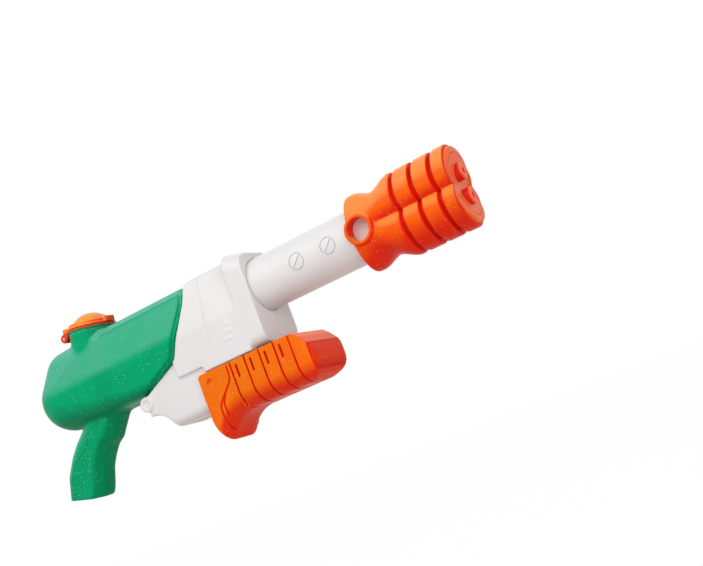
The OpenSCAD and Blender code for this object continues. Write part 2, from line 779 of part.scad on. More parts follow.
suction_z = rod_z + tube_r + 4;
floor_z = edge_at((port_x - edge_low[0]) / (edge_corner[0] - edge_low[0]))[1];
grommet_r = suction_r + 1.2;
suction_top = [port_x, -port_y, suction_z];
suction_end = [neck_x - 52, -port_y, tank_low_z + 13];
module suction_tube() {
    path = concat(
        [suction_top],
        run(suction_top + [0, 0, 16], [0, 0, 26], suction_top + [-24, 0, 36], [-40, 0, 2], 9),
        run(suction_top + [-34, 0, 36], [-60, 0, -1], suction_end + [10, 0, 0], [-60, 0, 0], 9),
        [suction_end]);
    color(natural) difference() {
        tube(path, suction_r, 8);
        tube(concat([suction_top - [0, 0, 1]], path, [suction_end - [1, 0, 0]]), suction_r - 1.2, 8);
    }
}
module suction_grommet() {
    color(rubber) translate([port_x, -port_y, floor_z - 3]) difference() {
        cylinder(r = grommet_r, h = 8, $fn = 32);
        translate([0, 0, -1]) cylinder(r = suction_r, h = 12, $fn = 32);
    }
}
module suction_strainer() {
    color(natural) translate(suction_end + [-8, 0, 0]) rotate([0, 90, 0]) difference() {
        cylinder(r = 6, h = 12, $fn = 40);
        translate([0, 0, 2]) cylinder(r = suction_r, h = 12, $fn = 40);
        for (a = [0:60:300]) rotate([0, 0, a]) translate([3, -0.8, 3]) cube([8, 1.6, 4]);
    }
}
hose_start = [port_x + 8, port_y, outlet_z];
hose_end = [barrel_x1 - bulkhead_t - 4, 0, barrel_axis_z];
module outlet_hose() {
    knee = [barrel_x0 + 12, 0, barrel_axis_z];
    path = concat([hose_start], run(hose_start + [14, 0, 0], [90, 0, 0], knee, [90, 0, 0], 14), [hose_end]);
    color(natural) difference() {
        tube(path, hose_r, 10);
        tube(concat([hose_start - [1, 0, 0]], path, [hose_end + [1, 0, 0]]), spigot_r + 0.3, 10);
    }
}
module hose_clips() {
    color(steel) {
        along_x(hose_start[0] + 4, outlet_z, port_y) clip_ring();
        along_x(hose_end[0] - 9, barrel_axis_z) clip_ring();
    }
}
module clip_ring() {
    difference() {
        cylinder(r = hose_r + 1.2, h = 5, $fn = 40);
        translate([0, 0, -1]) cylinder(r = hose_r + 0.1, h = 8, $fn = 40);
    }
}

// Pump grip, rod and piston

module pump_section(inset, low, top, round_r = pump_r) {
    w = pump_half_w - inset;
    r = round_r - inset;
    for (s = [-1, 1]) translate([s * (w - r), low + inset + r]) circle(r, $fn = 28);
    translate([-w, low + inset + r]) square([2 * w, top - low - inset - r]);
    translate([-(w - r), low + inset]) square([2 * (w - r), top - low - inset]);
}
module heel_side(inset) {
    difference() {
        union() {
            translate([pump_x + inset, heel_low_z + heel_r])
                square([heel_l - inset, pump_top_z - heel_low_z - heel_r]);
            translate([pump_x + heel_r, heel_low_z + heel_r]) circle(heel_r - inset, $fn = 24);
            translate([pump_x + heel_r, heel_low_z + inset]) square([heel_l - heel_r, heel_r]);
        }
        translate([pump_x + heel_l, pump_low_z - heel_scoop_r]) circle(heel_scoop_r + inset, $fn = 48);
    }
}
// Nose of the pump, drawn in over a few steps towards its front
module nose_slice(n, inset) {
    x = pump_front_x - n[0] - (n[0] < nose_l ? inset : 0);
    section_run(x - 0.5, x) offset(delta = -n[1]) pump_section(inset, pump_low_z, pump_top_z - inset);
}
// Side of the pump, whose top slopes down to the front over the nose
module nose_side(inset) {
    tip_x = pump_front_x + 1;
    tip_z = pump_top_z - (tip_x - nose_x) * nose_drop / nose_run;
    offset(delta = -inset) polygon([
        [pump_x, heel_low_z], [tip_x, heel_low_z], [tip_x, tip_z],
        [nose_x, pump_top_z], [pump_x, pump_top_z]]);
}
module nose(inset) {
    intersection() {
        for (k = [0:len(nose_steps) - 2])
            hull() {
                nose_slice(nose_steps[k], inset);
                nose_slice(nose_steps[k + 1], inset);
            }
        side_plate(far) nose_side(inset);
    }
}
// Outside of the pump, or with an inset its hollow, which is open at the rear and the top
module pump_solid(inset) {
    over = inset > 0 ? 1 : 0;
    section_run(pump_x - over, nose_x) pump_section(inset, pump_low_z, pump_top_z + over);
    intersection() {
        section_run(pump_x - over, pump_x + heel_l) pump_section(inset, heel_low_z, pump_top_z, heel_round);
        side_plate(far) heel_side(inset);
    }
    nose(inset);
}
module pump_half(side) {
    difference() {
        union() {
            difference() {
                intersection() {
                    pump_solid(0);
                    half_space(side);
                }
                pump_solid(pump_wall);
            }
            pump_inside(side);
        }
        rod_x(nose_x, nose_x + trap_t, trap_r + seat_gap, rod_z);
        for (k = [0:pump_bands - 1]) pump_ring(band_x + k * pump_pitch);
        pump_marks(side);
        for (p = pump_posts) screw_cut(p, side);
    }
}
// Short slots between the bands, thumb dimple and the double waving groove on the pump's side
module pump_marks(side) {
    y = side * pump_half_w;
    for (k = [0:pump_bands - 2])
        hull()
            for (z = [pump_top_z - 17, pump_top_z - 7])
                rod_y([band_x + k * pump_pitch + 6, z], y - groove_sink, y + groove_sink, 1.2, 12);
    rod_y([pump_x + 13, pump_top_z - 11], y - 1, y + 1, 3.6, 24);
    for (dx = [0, 4.5]) {
        start = [pump_x + 37 + dx, y + side * wave_off, pump_top_z + 2];
        bend = [pump_x + 17 + dx, y + side * wave_off, pump_top_z - 35];
        tube(concat(
            run(start, [0, 0, -30], bend, [0, 0, -30], 6),
            [bend + [0.6, 0, -8]]), wave_r, 6);
    }
}
// Groove round the outside of the pump at one place
module pump_ring(x) {
    section_run(x - pump_groove / 2, x + pump_groove / 2) difference() {
        translate([-far / 2, pump_low_z - 1]) square([far, pump_h + 5]);
        pump_section(groove_sink, pump_low_z, pump_top_z + far);
    }
}
// Keel on its two feet, screw posts and the block that traps the rod's flange
module pump_inside(side) {
    intersection() {
        union() {
            for (x = [keel_x0, keel_x0 + keel_l - foot_t])
                section_run(x, x + foot_t) intersection() {
                    pump_section(1, pump_low_z, pump_top_z);
                    translate([-far, -far]) square([2 * far, far + rail_low_z - slide_gap]);
                }
            translate([keel_x0, -keel_w / 2, rail_low_z - foot_t])
                cube([keel_l, keel_w, keel_z + 1 - rail_low_z + foot_t]);
            translate([keel_x0, -keel_head_w / 2, keel_z]) cube([keel_l, keel_head_w, keel_t]);
            for (p = pump_posts) rod_y(p, -p[2], p[2], post_r, 16);
            difference() {
                intersection() {
                    section_run(nose_x - trap_wall, nose_x + trap_t + trap_wall)
                        pump_section(pump_wall - 0.6, pump_low_z, pump_top_z);
                    side_plate(far) nose_side(pump_wall - 0.6);
                }
                rod_x(nose_x - far, nose_x + 1, rod_r + seat_gap, rod_z);
            }
        }
        half_space(side);
    }
}
module pump_grip_right() { color(orange) pump_half(right); }
module pump_grip_left() { color(orange) pump_half(left); }
module pump_screws() { screw_group(pump_posts); }
module piston_rod() {
    color(natural) {
        rod_x(piston_x1 - piston_t, nose_x, rod_r, rod_z);
        rod_x(nose_x, nose_x + trap_t, trap_r, rod_z);
    }
}
module piston_head() {
    x0 = piston_x1 - piston_t;
    color(natural) difference() {
        rod_x(x0, piston_x1, bore_r - slide_gap, rod_z);
        rod_x(x0 - 1, piston_x1 + 1, rod_r, rod_z);
        pipe_x(x0 + 4, x0 + 8, bore_r + 1, bore_r - 3, rod_z);
    }
}
module piston_seal() {
    x0 = piston_x1 - piston_t;
    color(rubber) pipe_x(x0 + 4.2, x0 + 7.8, bore_r - run_gap, bore_r - 3, rod_z);
}

// Spinning head

module head_shell() {
    edge = 1.4;
    rings = [for (b = [0:2])
        let (x0 = head_x0 + b * pitch, w = b < 2 ? band_w : front_band_w)
            each [
                head_ring(x0, -edge), head_ring(x0 + edge, 0),
                head_ring(x0 + w - edge, 0), head_ring(x0 + w, -edge),
                if (b < 2) head_ring(x0 + w + 0.05, -groove_deep),
                if (b < 2) head_ring(x0 + pitch - 0.05, -groove_deep)]];
    color(orange) difference() {
        loft(rings);
        rod_x(head_x0 - 1, far * 2, hub_r + seat_gap);
        loft([head_ring(hub_x0, -groove_deep - head_wall), head_ring(face_x0 + 1, -groove_deep - head_wall)]);
        loft([head_ring(face_x0, -3), head_ring(head_x1 + 1, -3)]);
    }
}
module head_face() {
    color(orange) difference() {
        loft([head_ring(face_x0, -3.2), head_ring(head_x1 + 2, -3.2), head_ring(head_x1 + 4, -5)]);
        translate([head_x1 + saddle_r - 2, 0, barrel_axis_z]) rotate([90, 0, 0])
            cylinder(r = saddle_r, h = far, center = true, $fn = 96);
        for (s = [-1, 1]) rod_x(face_x0 - 1, far * 2, jet_r, barrel_axis_z + s * jet_offset);
    }
}
module head_hub() {
    arm_x = hub_x0 + hub_l / 2;
    color(natural) difference() {
        union() {
            rod_x(head_x0, hub_x0 + hub_l, hub_r);
            rod_x(hub_x0, hub_x0 + 3, hub_flange_r);
            for (s = [-1, 1]) rod_x(arm_x, face_x0 - 3, 5, barrel_axis_z + s * jet_offset);
        }
        rod_x(head_x0 - 1, hub_x0 + hub_l + 1, spindle_r + run_gap);
        rod_x(hub_x0 + hub_l, face_x0, spindle_r + 3.6);
        for (s = [-1, 1]) rod_x(arm_x, face_x0 + 1, 2, barrel_axis_z + s * jet_offset);
        translate([arm_x, 0, barrel_axis_z - jet_offset]) cylinder(r = 1.8, h = 2 * jet_offset, $fn = 24);
    }
}
module jet_tips() {
    color(orange) for (s = [-1, 1]) difference() {
        rod_x(face_x0 - 3, jet_x1, jet_r, barrel_axis_z + s * jet_offset);
        rod_x(face_x0 - 4, jet_x1 + 1, jet_d / 2, barrel_axis_z + s * jet_offset);
        rod_x(jet_x1 - 2, jet_x1 + 1, jet_d, barrel_axis_z + s * jet_offset);
    }
}

tank_right();
tank_left();
fill_neck();
cap_ring();
cap_hinge_pin();
housing_right();
housing_left();
housing_screws();
barrel_tube();
nozzle_collar();
spindle();
spindle_seals();
spindle_clip();
pump_cylinder();
cylinder_gland();
rod_seal();
valve_block();
inlet_valve();
outlet_valve();
suction_tube();
suction_grommet();
suction_strainer();
outlet_hose();
hose_clips();
pump_grip_right();
pump_grip_left();
pump_screws();
piston_rod();
piston_head();
piston_seal();
fill_cap();
cap_seal();
head_shell();
head_face();
head_hub();
jet_tips();
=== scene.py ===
"""Looks of a pump water squirter, modelled round its packed frame."""

import math

import bmesh
import bpy
from bpy.props import FloatProperty, FloatVectorProperty, IntProperty, PointerProperty
from mathutils import Matrix, Vector


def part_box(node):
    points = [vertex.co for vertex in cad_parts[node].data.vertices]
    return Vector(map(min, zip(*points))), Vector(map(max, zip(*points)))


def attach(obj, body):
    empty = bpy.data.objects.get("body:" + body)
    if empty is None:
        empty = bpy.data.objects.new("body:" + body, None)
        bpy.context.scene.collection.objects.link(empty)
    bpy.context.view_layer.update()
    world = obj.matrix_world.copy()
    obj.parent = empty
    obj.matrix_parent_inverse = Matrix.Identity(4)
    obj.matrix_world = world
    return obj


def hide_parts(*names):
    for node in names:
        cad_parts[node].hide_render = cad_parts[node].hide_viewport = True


bl_info = {
    "name": "Pump Water Squirter",
    "version": (1, 0, 0),
    "blender": (4, 5, 0),
    "location": "3D View > Sidebar > Squirter",
    "description": "Models the shells and finishes of a pump water squirter",
    "category": "Object",
}

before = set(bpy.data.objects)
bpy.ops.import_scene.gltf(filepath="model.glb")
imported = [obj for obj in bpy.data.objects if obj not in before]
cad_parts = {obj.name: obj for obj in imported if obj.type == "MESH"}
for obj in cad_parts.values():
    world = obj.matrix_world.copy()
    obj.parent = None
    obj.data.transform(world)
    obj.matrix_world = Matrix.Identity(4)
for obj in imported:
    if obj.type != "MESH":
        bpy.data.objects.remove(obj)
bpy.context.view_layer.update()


def length(name, description, default):
    """Length setting in metres."""
    return FloatProperty(name=name, description=description, default=default, unit="LENGTH", precision=4)


def tint(name, description, default):
    """Colour setting."""
    return FloatVectorProperty(
        name=name, description=description, default=default, size=3, min=0, max=1, subtype="COLOR")


class SquirterTank(bpy.types.PropertyGroup):
    """Sizes of the tank and its pistol grip."""
    back_x: length("Back", "Middle of the round back end", 0.008)
    belly_z: length("Belly height", "Middle of the tank's widest part", 0.078)
    belly_r: length("Belly radius", "Half the tank's width", 0.036)
    top_z: length("Top", "Height of the tank's top", 0.130)
    low_z: length("Bottom", "Height of the tank's underside", 0.042)
    tip_x: length("Front", "Front end of the tank's top", 0.203)
    shoulder_r: length("Shoulder", "Radius of the rounded rear top", 0.026)
    crease_y: length("Crease", "Half the width of the flat top", 0.013)
    crease_r: length("Crease radius", "Radius of the top's long edges", 0.0022)
    chamfer_w: length("Chamfer width", "Width of the slope beside the flat top", 0.0078)
    chamfer_h: length("Chamfer height", "Height of the slope beside the flat top", 0.0058)
    lip_l: length("Lip", "Length of the drawn-in lip along the front edge", 0.0036)
    lip_in: length("Lip depth", "How far the lip is drawn in", 0.0022)
    keel_r: length("Keel radius", "Radius of the lower edges", 0.014)
    neck_x: length("Neck", "Place of the filler neck", 0.060)
    tower_r: length("Tower radius", "Radius of the neck's stand", 0.0255)
    tower_h: length("Tower height", "Height of the neck's stand", 0.008)
    grip_w: length("Grip width", "Width of the pistol grip", 0.036)
    grip_front_r: length("Front strap", "Edge radius of the grip's front", 0.006)
    grip_crease_r: length("Grip crease", "Radius of the crease beside the front strap", 0.003)
    grip_facet: length("Front facet", "Distance of that crease from the grip's front", 0.0105)
    grip_back_r: length("Back strap", "Edge radius of the grip's back", 0.013)
    base_z: length("Grip base", "Height of the grip's flat end", -0.0335)


class SquirterNozzle(bpy.types.PropertyGroup):
    """Sizes of the barrel, the collar and the head."""
    axis_z: length("Axis", "Height of the barrel's axis", 0.098)
    barrel_r: length("Barrel radius", "Outer radius of the barrel", 0.0275)
    collar_x0: length("Collar start", "Rear edge of the collar", 0.406)
    collar_x1: length("Collar end", "Front edge of the collar", 0.458)
    window_x: length("Window", "Place of the round windows", 0.417)
    window_r: length("Window radius", "Radius of the round windows", 0.0115)
    window_y: length("Window face", "Reach of the window's rim", 0.0317)
    window_floor: length("Window floor", "Reach of the floor behind the window", 0.0185)
    sleeve: length("Sleeve", "Wall of the window's sleeve in the barrel", 0.001)
    head_x0: length("Head start", "Rear edge of the head", 0.4625)
    head_x1: length("Head end", "Front edge of the head's shell", 0.516)
    half_h: length("Half height", "Half the head's height", 0.0412)
    half_w: length("Half width", "Half the head's width", 0.0334)
    valley: length("Valley", "Depth of the valley on each side", 0.0094)
    band_w: length("Band", "Width of one band", 0.016)
    groove_w: length("Groove", "Width of one groove", 0.0045)
    groove_deep: length("Groove depth", "Depth of the grooves", 0.0055)
    jet_offset: length("Jets", "Distance of a jet from the axis", 0.012)
    jet_r: length("Jet radius", "Radius of a jet's boss", 0.0082)
    fine: IntProperty(name="Points", description="Points round a section", default=160, min=24)


class SquirterPump(bpy.types.PropertyGroup):
    """Sizes of the sliding pump grip."""
    x0: length("Rear", "Rear end of the pump", 0.194)
    x1: length("Front", "Front end of the pump", 0.328)
    half_w: length("Half width", "Half the pump's width", 0.033)
    top_z: length("Top", "Height of the upper edge", 0.037)
    low_z: length("Bottom", "Height of the underside", -0.013)
    round_r: length("Round", "Radius of the lower edges", 0.020)
    wall: length("Wall", "Thickness of the wall", 0.0028)
    heel_l: length("Heel length", "Length of the hooked heel", 0.045)
    heel_z: length("Heel bottom", "Height of the heel's end", -0.035)
    heel_r: length("Heel radius", "Corner radius of the heel", 0.010)
    scoop_r: length("Scoop", "Radius of the hollow before the heel", 0.044)
    nose_l: length("Nose", "Length of the rounded nose", 0.018)
    bands: IntProperty(name="Bands", description="Number of grooves", default=5, min=2)
    band_x: length("First groove", "Place of the rear groove", 0.236)
    pitch: length("Pitch", "Distance between grooves", 0.018)
    groove_w: length("Groove", "Width of a groove", 0.0022)
    groove_deep: length("Groove depth", "Depth of a groove", 0.0018)


class SquirterFinish(bpy.types.PropertyGroup):
    """Colours of the mouldings, with the painted light and shade on them."""
    green: tint("Green", "Tank and neck", (0.0, 0.390, 0.165))
    green_deep: tint("Deep green", "Tank in its darker places", (0.0, 0.330, 0.135))
    white: tint("White", "Housing and barrel", (0.760, 0.760, 0.765))
    white_deep: tint("Shaded white", "Housing in its darker places", (0.735, 0.732, 0.732))
    # Painted shade: darker green where the tank turns away from the light and down
    green_painted_shade: tint("Low green", "Tank where it turns away and down", (0.0, 0.170, 0.065))
    # Painted sheen: paler bluish green on the tank's upward sides, also standing for fine water there
    mist_and_sheen: tint("Mist", "Fine water on the tank's upper sides", (0.350, 0.750, 0.780))
    # Painted top light: yellower orange on the upward sides of the cap and nozzle, also standing for fine
    # water there
    dew_and_top_light: tint("Dew", "Fine water on the nozzle's upper sides", (0.960, 0.560, 0.160))
    # Painted shade: grey in the barrel's recessed marks
    mark: tint("Mark", "Sunk marks on the barrel", (0.600, 0.600, 0.610))
    orange: tint("Orange", "Pump grip", (0.930, 0.200, 0.004))
    orange_deep: tint("Deep orange", "Pump grip in its darker places", (0.920, 0.150, 0.004))
    nozzle: tint("Nozzle", "Collar and head", (0.910, 0.150, 0.004))
    nozzle_deep: tint("Deep nozzle", "Collar and head in their darker places", (0.900, 0.100, 0.003))
    # Painted light: the cap is lighter than the other orange mouldings because its dome is lit
    cap: tint("Cap", "Flip cap", (0.950, 0.300, 0.020))
    # Painted sheen: a lighter coral on the head's front and on the tops of the jets
    face: tint("Face", "Front of the head", (0.950, 0.165, 0.085))
    shade: tint("Red", "Bottom of the grooves and the turned-away sides", (0.790, 0.017, 0.006))
    natural: tint("Natural", "Inner mouldings", (0.620, 0.600, 0.560))
    rubber: tint("Rubber", "Seals", (0.030, 0.030, 0.032))
    steel: tint("Steel", "Screws, pin and clip", (0.520, 0.520, 0.530))


class SquirterStage(bpy.types.PropertyGroup):
    """Camera and light."""
    target: FloatVectorProperty(
        name="Target", description="Point that the camera looks at", default=(0.3759, 0.0, 0.0609),
        size=3, subtype="TRANSLATION")
    distance: length("Distance", "Distance of the camera from its target", 1.0304)
    turn: FloatProperty(name="Turn", description="Turn towards the muzzle", default=26.31)
    rise: FloatProperty(name="Rise", description="Rise above the horizon", default=-9.1)
    roll: FloatProperty(name="Roll", description="Roll about the view", default=-21.09)
    lens: FloatProperty(name="Lens", description="Focal length in millimetres", default=55.35)
    floor_z: length("Floor", "Height of the floor", -0.170)


# Shapes

def new_object(name, bm):
    """Mesh object at the origin from a bmesh."""
    mesh = bpy.data.meshes.new(name)
    bm.to_mesh(mesh)
    bm.free()
    obj = bpy.data.objects.new(name, mesh)
    bpy.context.scene.collection.objects.link(obj)
    return obj


def settle(obj):
    """Keep the shape that the modifiers give."""
    graph = bpy.context.evaluated_depsgraph_get()
    mesh = bpy.data.meshes.new_from_object(obj.evaluated_get(graph))
    old = obj.data
    obj.modifiers.clear()
    obj.data = mesh
    mesh.name = obj.name
    bpy.data.meshes.remove(old)
    if not mesh.polygons:
        raise RuntimeError(obj.name + " has no faces")


def discard(obj):
    """Remove an object and its mesh."""
    mesh = obj.data
    bpy.data.objects.remove(obj)
    bpy.data.meshes.remove(mesh)


def carve(obj, bm, operation="DIFFERENCE"):
    """Cut a shape out of an object, or join it on."""
    tool = new_object("tool", bm)
    step = obj.modifiers.new("carve", "BOOLEAN")
    step.operation = operation
    step.solver = "MANIFOLD"
    step.object = tool
    settle(obj)
    discard(tool)


def add_ease(obj, rounds):
    """Smoothing of a number of rounds."""
    ease = obj.modifiers.new("ease", "SMOOTH")
    ease.factor = 0.5
    ease.iterations = rounds
    return ease


def soften(obj, voxel, rounds):
    """One even skin with soft moulded edges."""
    skin = obj.modifiers.new("skin", "REMESH")
    skin.mode = "VOXEL"
    skin.voxel_size = voxel
    add_ease(obj, rounds)
    settle(obj)


def ease_near(obj, weight, rounds):
    """Smooth an object more where a weight of the place is high."""
    group = obj.vertex_groups.new(name="ease")
    for v in obj.data.vertices:
        share = weight(v.co)
        if share > 0:
            group.add([v.index], min(1.0, share), "REPLACE")
    add_ease(obj, rounds).vertex_group = "ease"
    settle(obj)
    obj.vertex_groups.clear()


def turned(axis):
    """Turn that lays the Z axis along another."""
    return Vector(axis).to_track_quat("Z", "Y").to_matrix().to_4x4()


def ball(bm, place, radius, fine=64):
    bmesh.ops.create_uvsphere(
        bm, u_segments=fine, v_segments=fine // 2, radius=radius, matrix=Matrix.Translation(place))


def hoop(bm, place, radius, axis, fine=128):
    bmesh.ops.create_circle(
        bm, cap_ends=False, segments=fine, radius=radius, matrix=Matrix.Translation(place) @ turned(axis))


def convex(fill):
    """Smallest convex solid round the shapes that fill makes."""
    bm = bmesh.new()
    fill(bm)
    bmesh.ops.delete(bm, geom=bm.edges[:] + bm.faces[:], context="EDGES_FACES")
    made = bmesh.ops.convex_hull(bm, input=bm.verts[:])
    inside = {g for g in made["geom_interior"] + made["geom_unused"] if isinstance(g, bmesh.types.BMVert)}
    bmesh.ops.delete(bm, geom=list(inside), context="VERTS")
    bmesh.ops.recalc_face_normals(bm, faces=bm.faces[:])
    return bm


def trim(bm, place, out):
    """Cut a solid with a plane and close the cut."""
    cut = bmesh.ops.bisect_plane(
        bm, geom=bm.verts[:] + bm.edges[:] + bm.faces[:], plane_co=place, plane_no=out, clear_outer=True)
    rim = [e for e in cut["geom_cut"] if isinstance(e, bmesh.types.BMEdge)]
    bmesh.ops.edgeloop_fill(bm, edges=rim)
    bmesh.ops.recalc_face_normals(bm, faces=bm.faces[:])


def rod(start, end, radius, fine=96):
    """Round solid between two points."""
    start, end = Vector(start), Vector(end)
    bm = bmesh.new()
    bmesh.ops.create_cone(
        bm, cap_ends=True, segments=fine, radius1=radius, radius2=radius, depth=(end - start).length,
        matrix=Matrix.Translation((start + end) / 2) @ turned(end - start))
    return bm


def block(low, high):
    """Box between two corners."""
    low, high = Vector(low), Vector(high)
    bm = bmesh.new()
    bmesh.ops.create_cube(bm, size=1, matrix=Matrix.LocRotScale((low + high) / 2, None, high - low))
    return bm


def lathe(profile, place, axis, fine=128):
    """Solid turned from (radius, height) points about an axis."""
    bm = bmesh.new()
    points = [bm.verts.new((r, 0, h)) for r, h in profile]
    edges = [bm.edges.new(pair) for pair in zip(points, points[1:])]
    bmesh.ops.spin(
        bm, geom=points + edges, cent=(0, 0, 0), axis=(0, 0, 1), angle=2 * math.pi, steps=fine,
        use_merge=True)
    bmesh.ops.remove_doubles(bm, verts=bm.verts[:], dist=1e-6)
    bmesh.ops.transform(bm, matrix=Matrix.Translation(place) @ turned(axis), verts=bm.verts[:])
    bmesh.ops.recalc_face_normals(bm, faces=bm.faces[:])
    return bm


def together(name, parts):
    """One object from several overlapping solids."""
    bm = bmesh.new()
    for part in parts:
        mesh = bpy.data.meshes.new("part")
        part.to_mesh(mesh)
        part.free()
        bm.from_mesh(mesh)
        bpy.data.meshes.remove(mesh)
    return new_object(name, bm)


def taken(obj):
    """Shape of an object that is needed no longer."""
    bm = bmesh.new()
    bm.from_mesh(obj.data)
    discard(obj)
    return bm


def grown_ring(bm, edges):
    """Next ring of a skin, still in the place of the last one."""
    grown = bmesh.ops.extrude_edge_only(bm, edges=edges)["geom"]
    verts = [g for g in grown if isinstance(g, bmesh.types.BMVert)]
    edges = [g for g in grown if isinstance(g, bmesh.types.BMEdge) and all(v in verts for v in g.verts)]
    return verts, edges


def closed_ends(bm, first, last):
    """Close a skin at both ends."""
    bmesh.ops.edgeloop_fill(bm, edges=first)
    bmesh.ops.edgeloop_fill(bm, edges=last)
    bmesh.ops.recalc_face_normals(bm, faces=bm.faces[:])
    return bm


def tube_along(path, radius, fine=16):
    """Round solid along a path of points."""
    bm = bmesh.new()
    heading = (path[1] - path[0]).normalized()
    hoop(bm, path[0], radius, heading, fine)
    first = edges = bm.edges[:]
    for n, point in enumerate(path[1:], 1):
        verts, edges = grown_ring(bm, edges)
        ahead = (path[min(n + 1, len(path) - 1)] - path[n - 1]).normalized()
        turn = heading.rotation_difference(ahead).to_matrix().to_4x4()
        move = Matrix.Translation(point) @ turn @ Matrix.Translation(-path[n - 1])
        bmesh.ops.transform(bm, matrix=move, verts=verts)
        heading = ahead
    return closed_ends(bm, first, edges)


def curve_through(corners, steps=6):
    """Smooth path that rounds the corners of a line."""
    path = [corners[0]]
    for before, here, after in zip(corners, corners[1:], corners[2:]):
        for k in range(1, steps):
            t = k / steps
            path.append(before.lerp(here, 0.5 + t / 2).lerp(here.lerp(after, t / 2), t))
    path.append(corners[-1])
    return path


def merged_copy(name, node):
    """Copy of a CAD node with its loose triangles joined."""
    bm = bmesh.new()
    bm.from_mesh(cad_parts[node].data)
    bmesh.ops.remove_doubles(bm, verts=bm.verts[:], dist=2e-6)
    return new_object(name, bm)


def weld(mesh, near=4e-6):
    """Join the slivers that cuts leave."""
    bm = bmesh.new()
    bm.from_mesh(mesh)
    bmesh.ops.remove_doubles(bm, verts=bm.verts[:], dist=near)
    bmesh.ops.dissolve_degenerate(bm, edges=bm.edges[:], dist=near)
    bmesh.ops.triangulate(bm, faces=[f for f in bm.faces if len(f.verts) > 4])
    bmesh.ops.dissolve_degenerate(bm, edges=bm.edges[:], dist=near)
    bm.to_mesh(mesh)
    bm.free()


def finish_piece(obj, finish, body, slot, *nodes, sharp=None):
    """Give a piece its finish, its body and the nodes that it stands for."""
    weld(obj.data)
    obj.data.materials.clear()
    obj.data.materials.append(bpy.data.materials[finish])
    obj.data.shade_smooth()
    if sharp:
        obj.data.set_sharp_from_angle(angle=math.radians(sharp))
    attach(obj, body)
    if nodes:
        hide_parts(*nodes)


# Finishes

class Wiring:
    """Node tree with short ways to place and join its nodes."""

    def __init__(self, tree):
        self.tree = tree
        self.link = tree.links.new

    def node(self, kind, **inputs):
        node = self.tree.nodes.new(kind)
        for key, value in inputs.items():
            node.inputs[key.replace("_", " ")].default_value = value
        return node

    def feed(self, socket, value):
        """Join a socket to another, or set its value."""
        if isinstance(value, bpy.types.NodeSocket):
            self.link(value, socket)
        elif value is not None:
            socket.default_value = value

    def calc(self, operation, first, second=None, third=None, clamp=False):
        node = self.node("ShaderNodeMath")
        node.operation = operation
        node.use_clamp = clamp
        for socket, value in zip(node.inputs, (first, second, third)):
            self.feed(socket, value)
        return node.outputs[0]

    def blend(self, factor, first, second):
        """Colour between two, by a factor."""
        node = self.node("ShaderNodeMix")
        node.data_type = "RGBA"
        self.link(factor, node.inputs["Factor"])
        for socket, value in ((node.inputs[6], first), (node.inputs[7], second)):
            self.feed(socket, value if isinstance(value, bpy.types.NodeSocket) else (*value, 1))
        return node.outputs[2]

    def group(self, name, vector, **values):
        node = self.node("ShaderNodeGroup")
        node.node_tree = bpy.data.node_groups[name]
        self.link(vector, node.inputs["Vector"])
        for key, value in values.items():
            node.inputs[key].default_value = value
        return node

    def split(self, vector):
        """X, Y and Z of a vector."""
        node = self.node("ShaderNodeSeparateXYZ")
        self.link(vector, node.inputs["Vector"])
        return node.outputs

    def coat(self, shader, tone, rough, height, **bump):
        """Join a shader to its tone, roughness and relief."""
        relief = self.node("ShaderNodeBump", **bump)
        self.link(height, relief.inputs["Height"])
        for key, socket in (("Base Color", tone), ("Roughness", rough), ("Normal", relief.outputs[0])):
            self.link(socket, shader.inputs[key])

    def seen(self):
        """High for rays that show the background, straight or by way of gloss and glass."""
        path = self.node("ShaderNodeLightPath")
        seen = self.calc("MAXIMUM", path.outputs["Is Camera Ray"], path.outputs["Is Glossy Ray"])
        return self.calc("MAXIMUM", seen, path.outputs["Is Transmission Ray"])

    def mix(self, factor, first, second, out):
        """Send two shaders to an output, by a factor."""
        node = self.node("ShaderNodeMixShader")
        self.link(factor, node.inputs["Fac"])
        self.link(first.outputs[0], node.inputs[1])
        self.link(second.outputs[0], node.inputs[2])
        self.link(node.outputs[0], out.inputs["Surface"])


def group_of(name, inputs, outputs):
    """Empty shader node group with its sockets."""
    tree = bpy.data.node_groups.new(name, "ShaderNodeTree")
    for label, default in inputs:
        kind = "NodeSocketVector" if default is None else "NodeSocketFloat"
        socket = tree.interface.new_socket(label, in_out="INPUT", socket_type=kind)
        if default is not None:
            socket.default_value = default
    for label in outputs:
        tree.interface.new_socket(label, in_out="OUTPUT", socket_type="NodeSocketFloat")
    w = Wiring(tree)
    return w, w.node("NodeGroupInput"), w.node("NodeGroupOutput")


def moulded_skin():
    """Fine grain of a moulding and its slow change of tone."""
    w, given, out = group_of(
        "moulded_skin", [("Vector", None), ("Grain", 1400.0), ("Patch", 22.0)], ["Grain", "Tone"])
    grain = w.node("ShaderNodeTexNoise", Detail=3.0, Roughness=0.6)
    patch = w.node("ShaderNodeTexNoise", Detail=2.0, Roughness=0.5)
    for texture, scale in ((grain, "Grain"), (patch, "Patch")):
        w.link(given.outputs["Vector"], texture.inputs["Vector"])
        w.link(given.outputs[scale], texture.inputs["Scale"])
    w.link(grain.outputs["Fac"], out.inputs["Grain"])
    tone = w.calc("MULTIPLY_ADD", patch.outputs["Fac"], 2.6, -0.8, clamp=True)
    w.link(tone, out.inputs["Tone"])


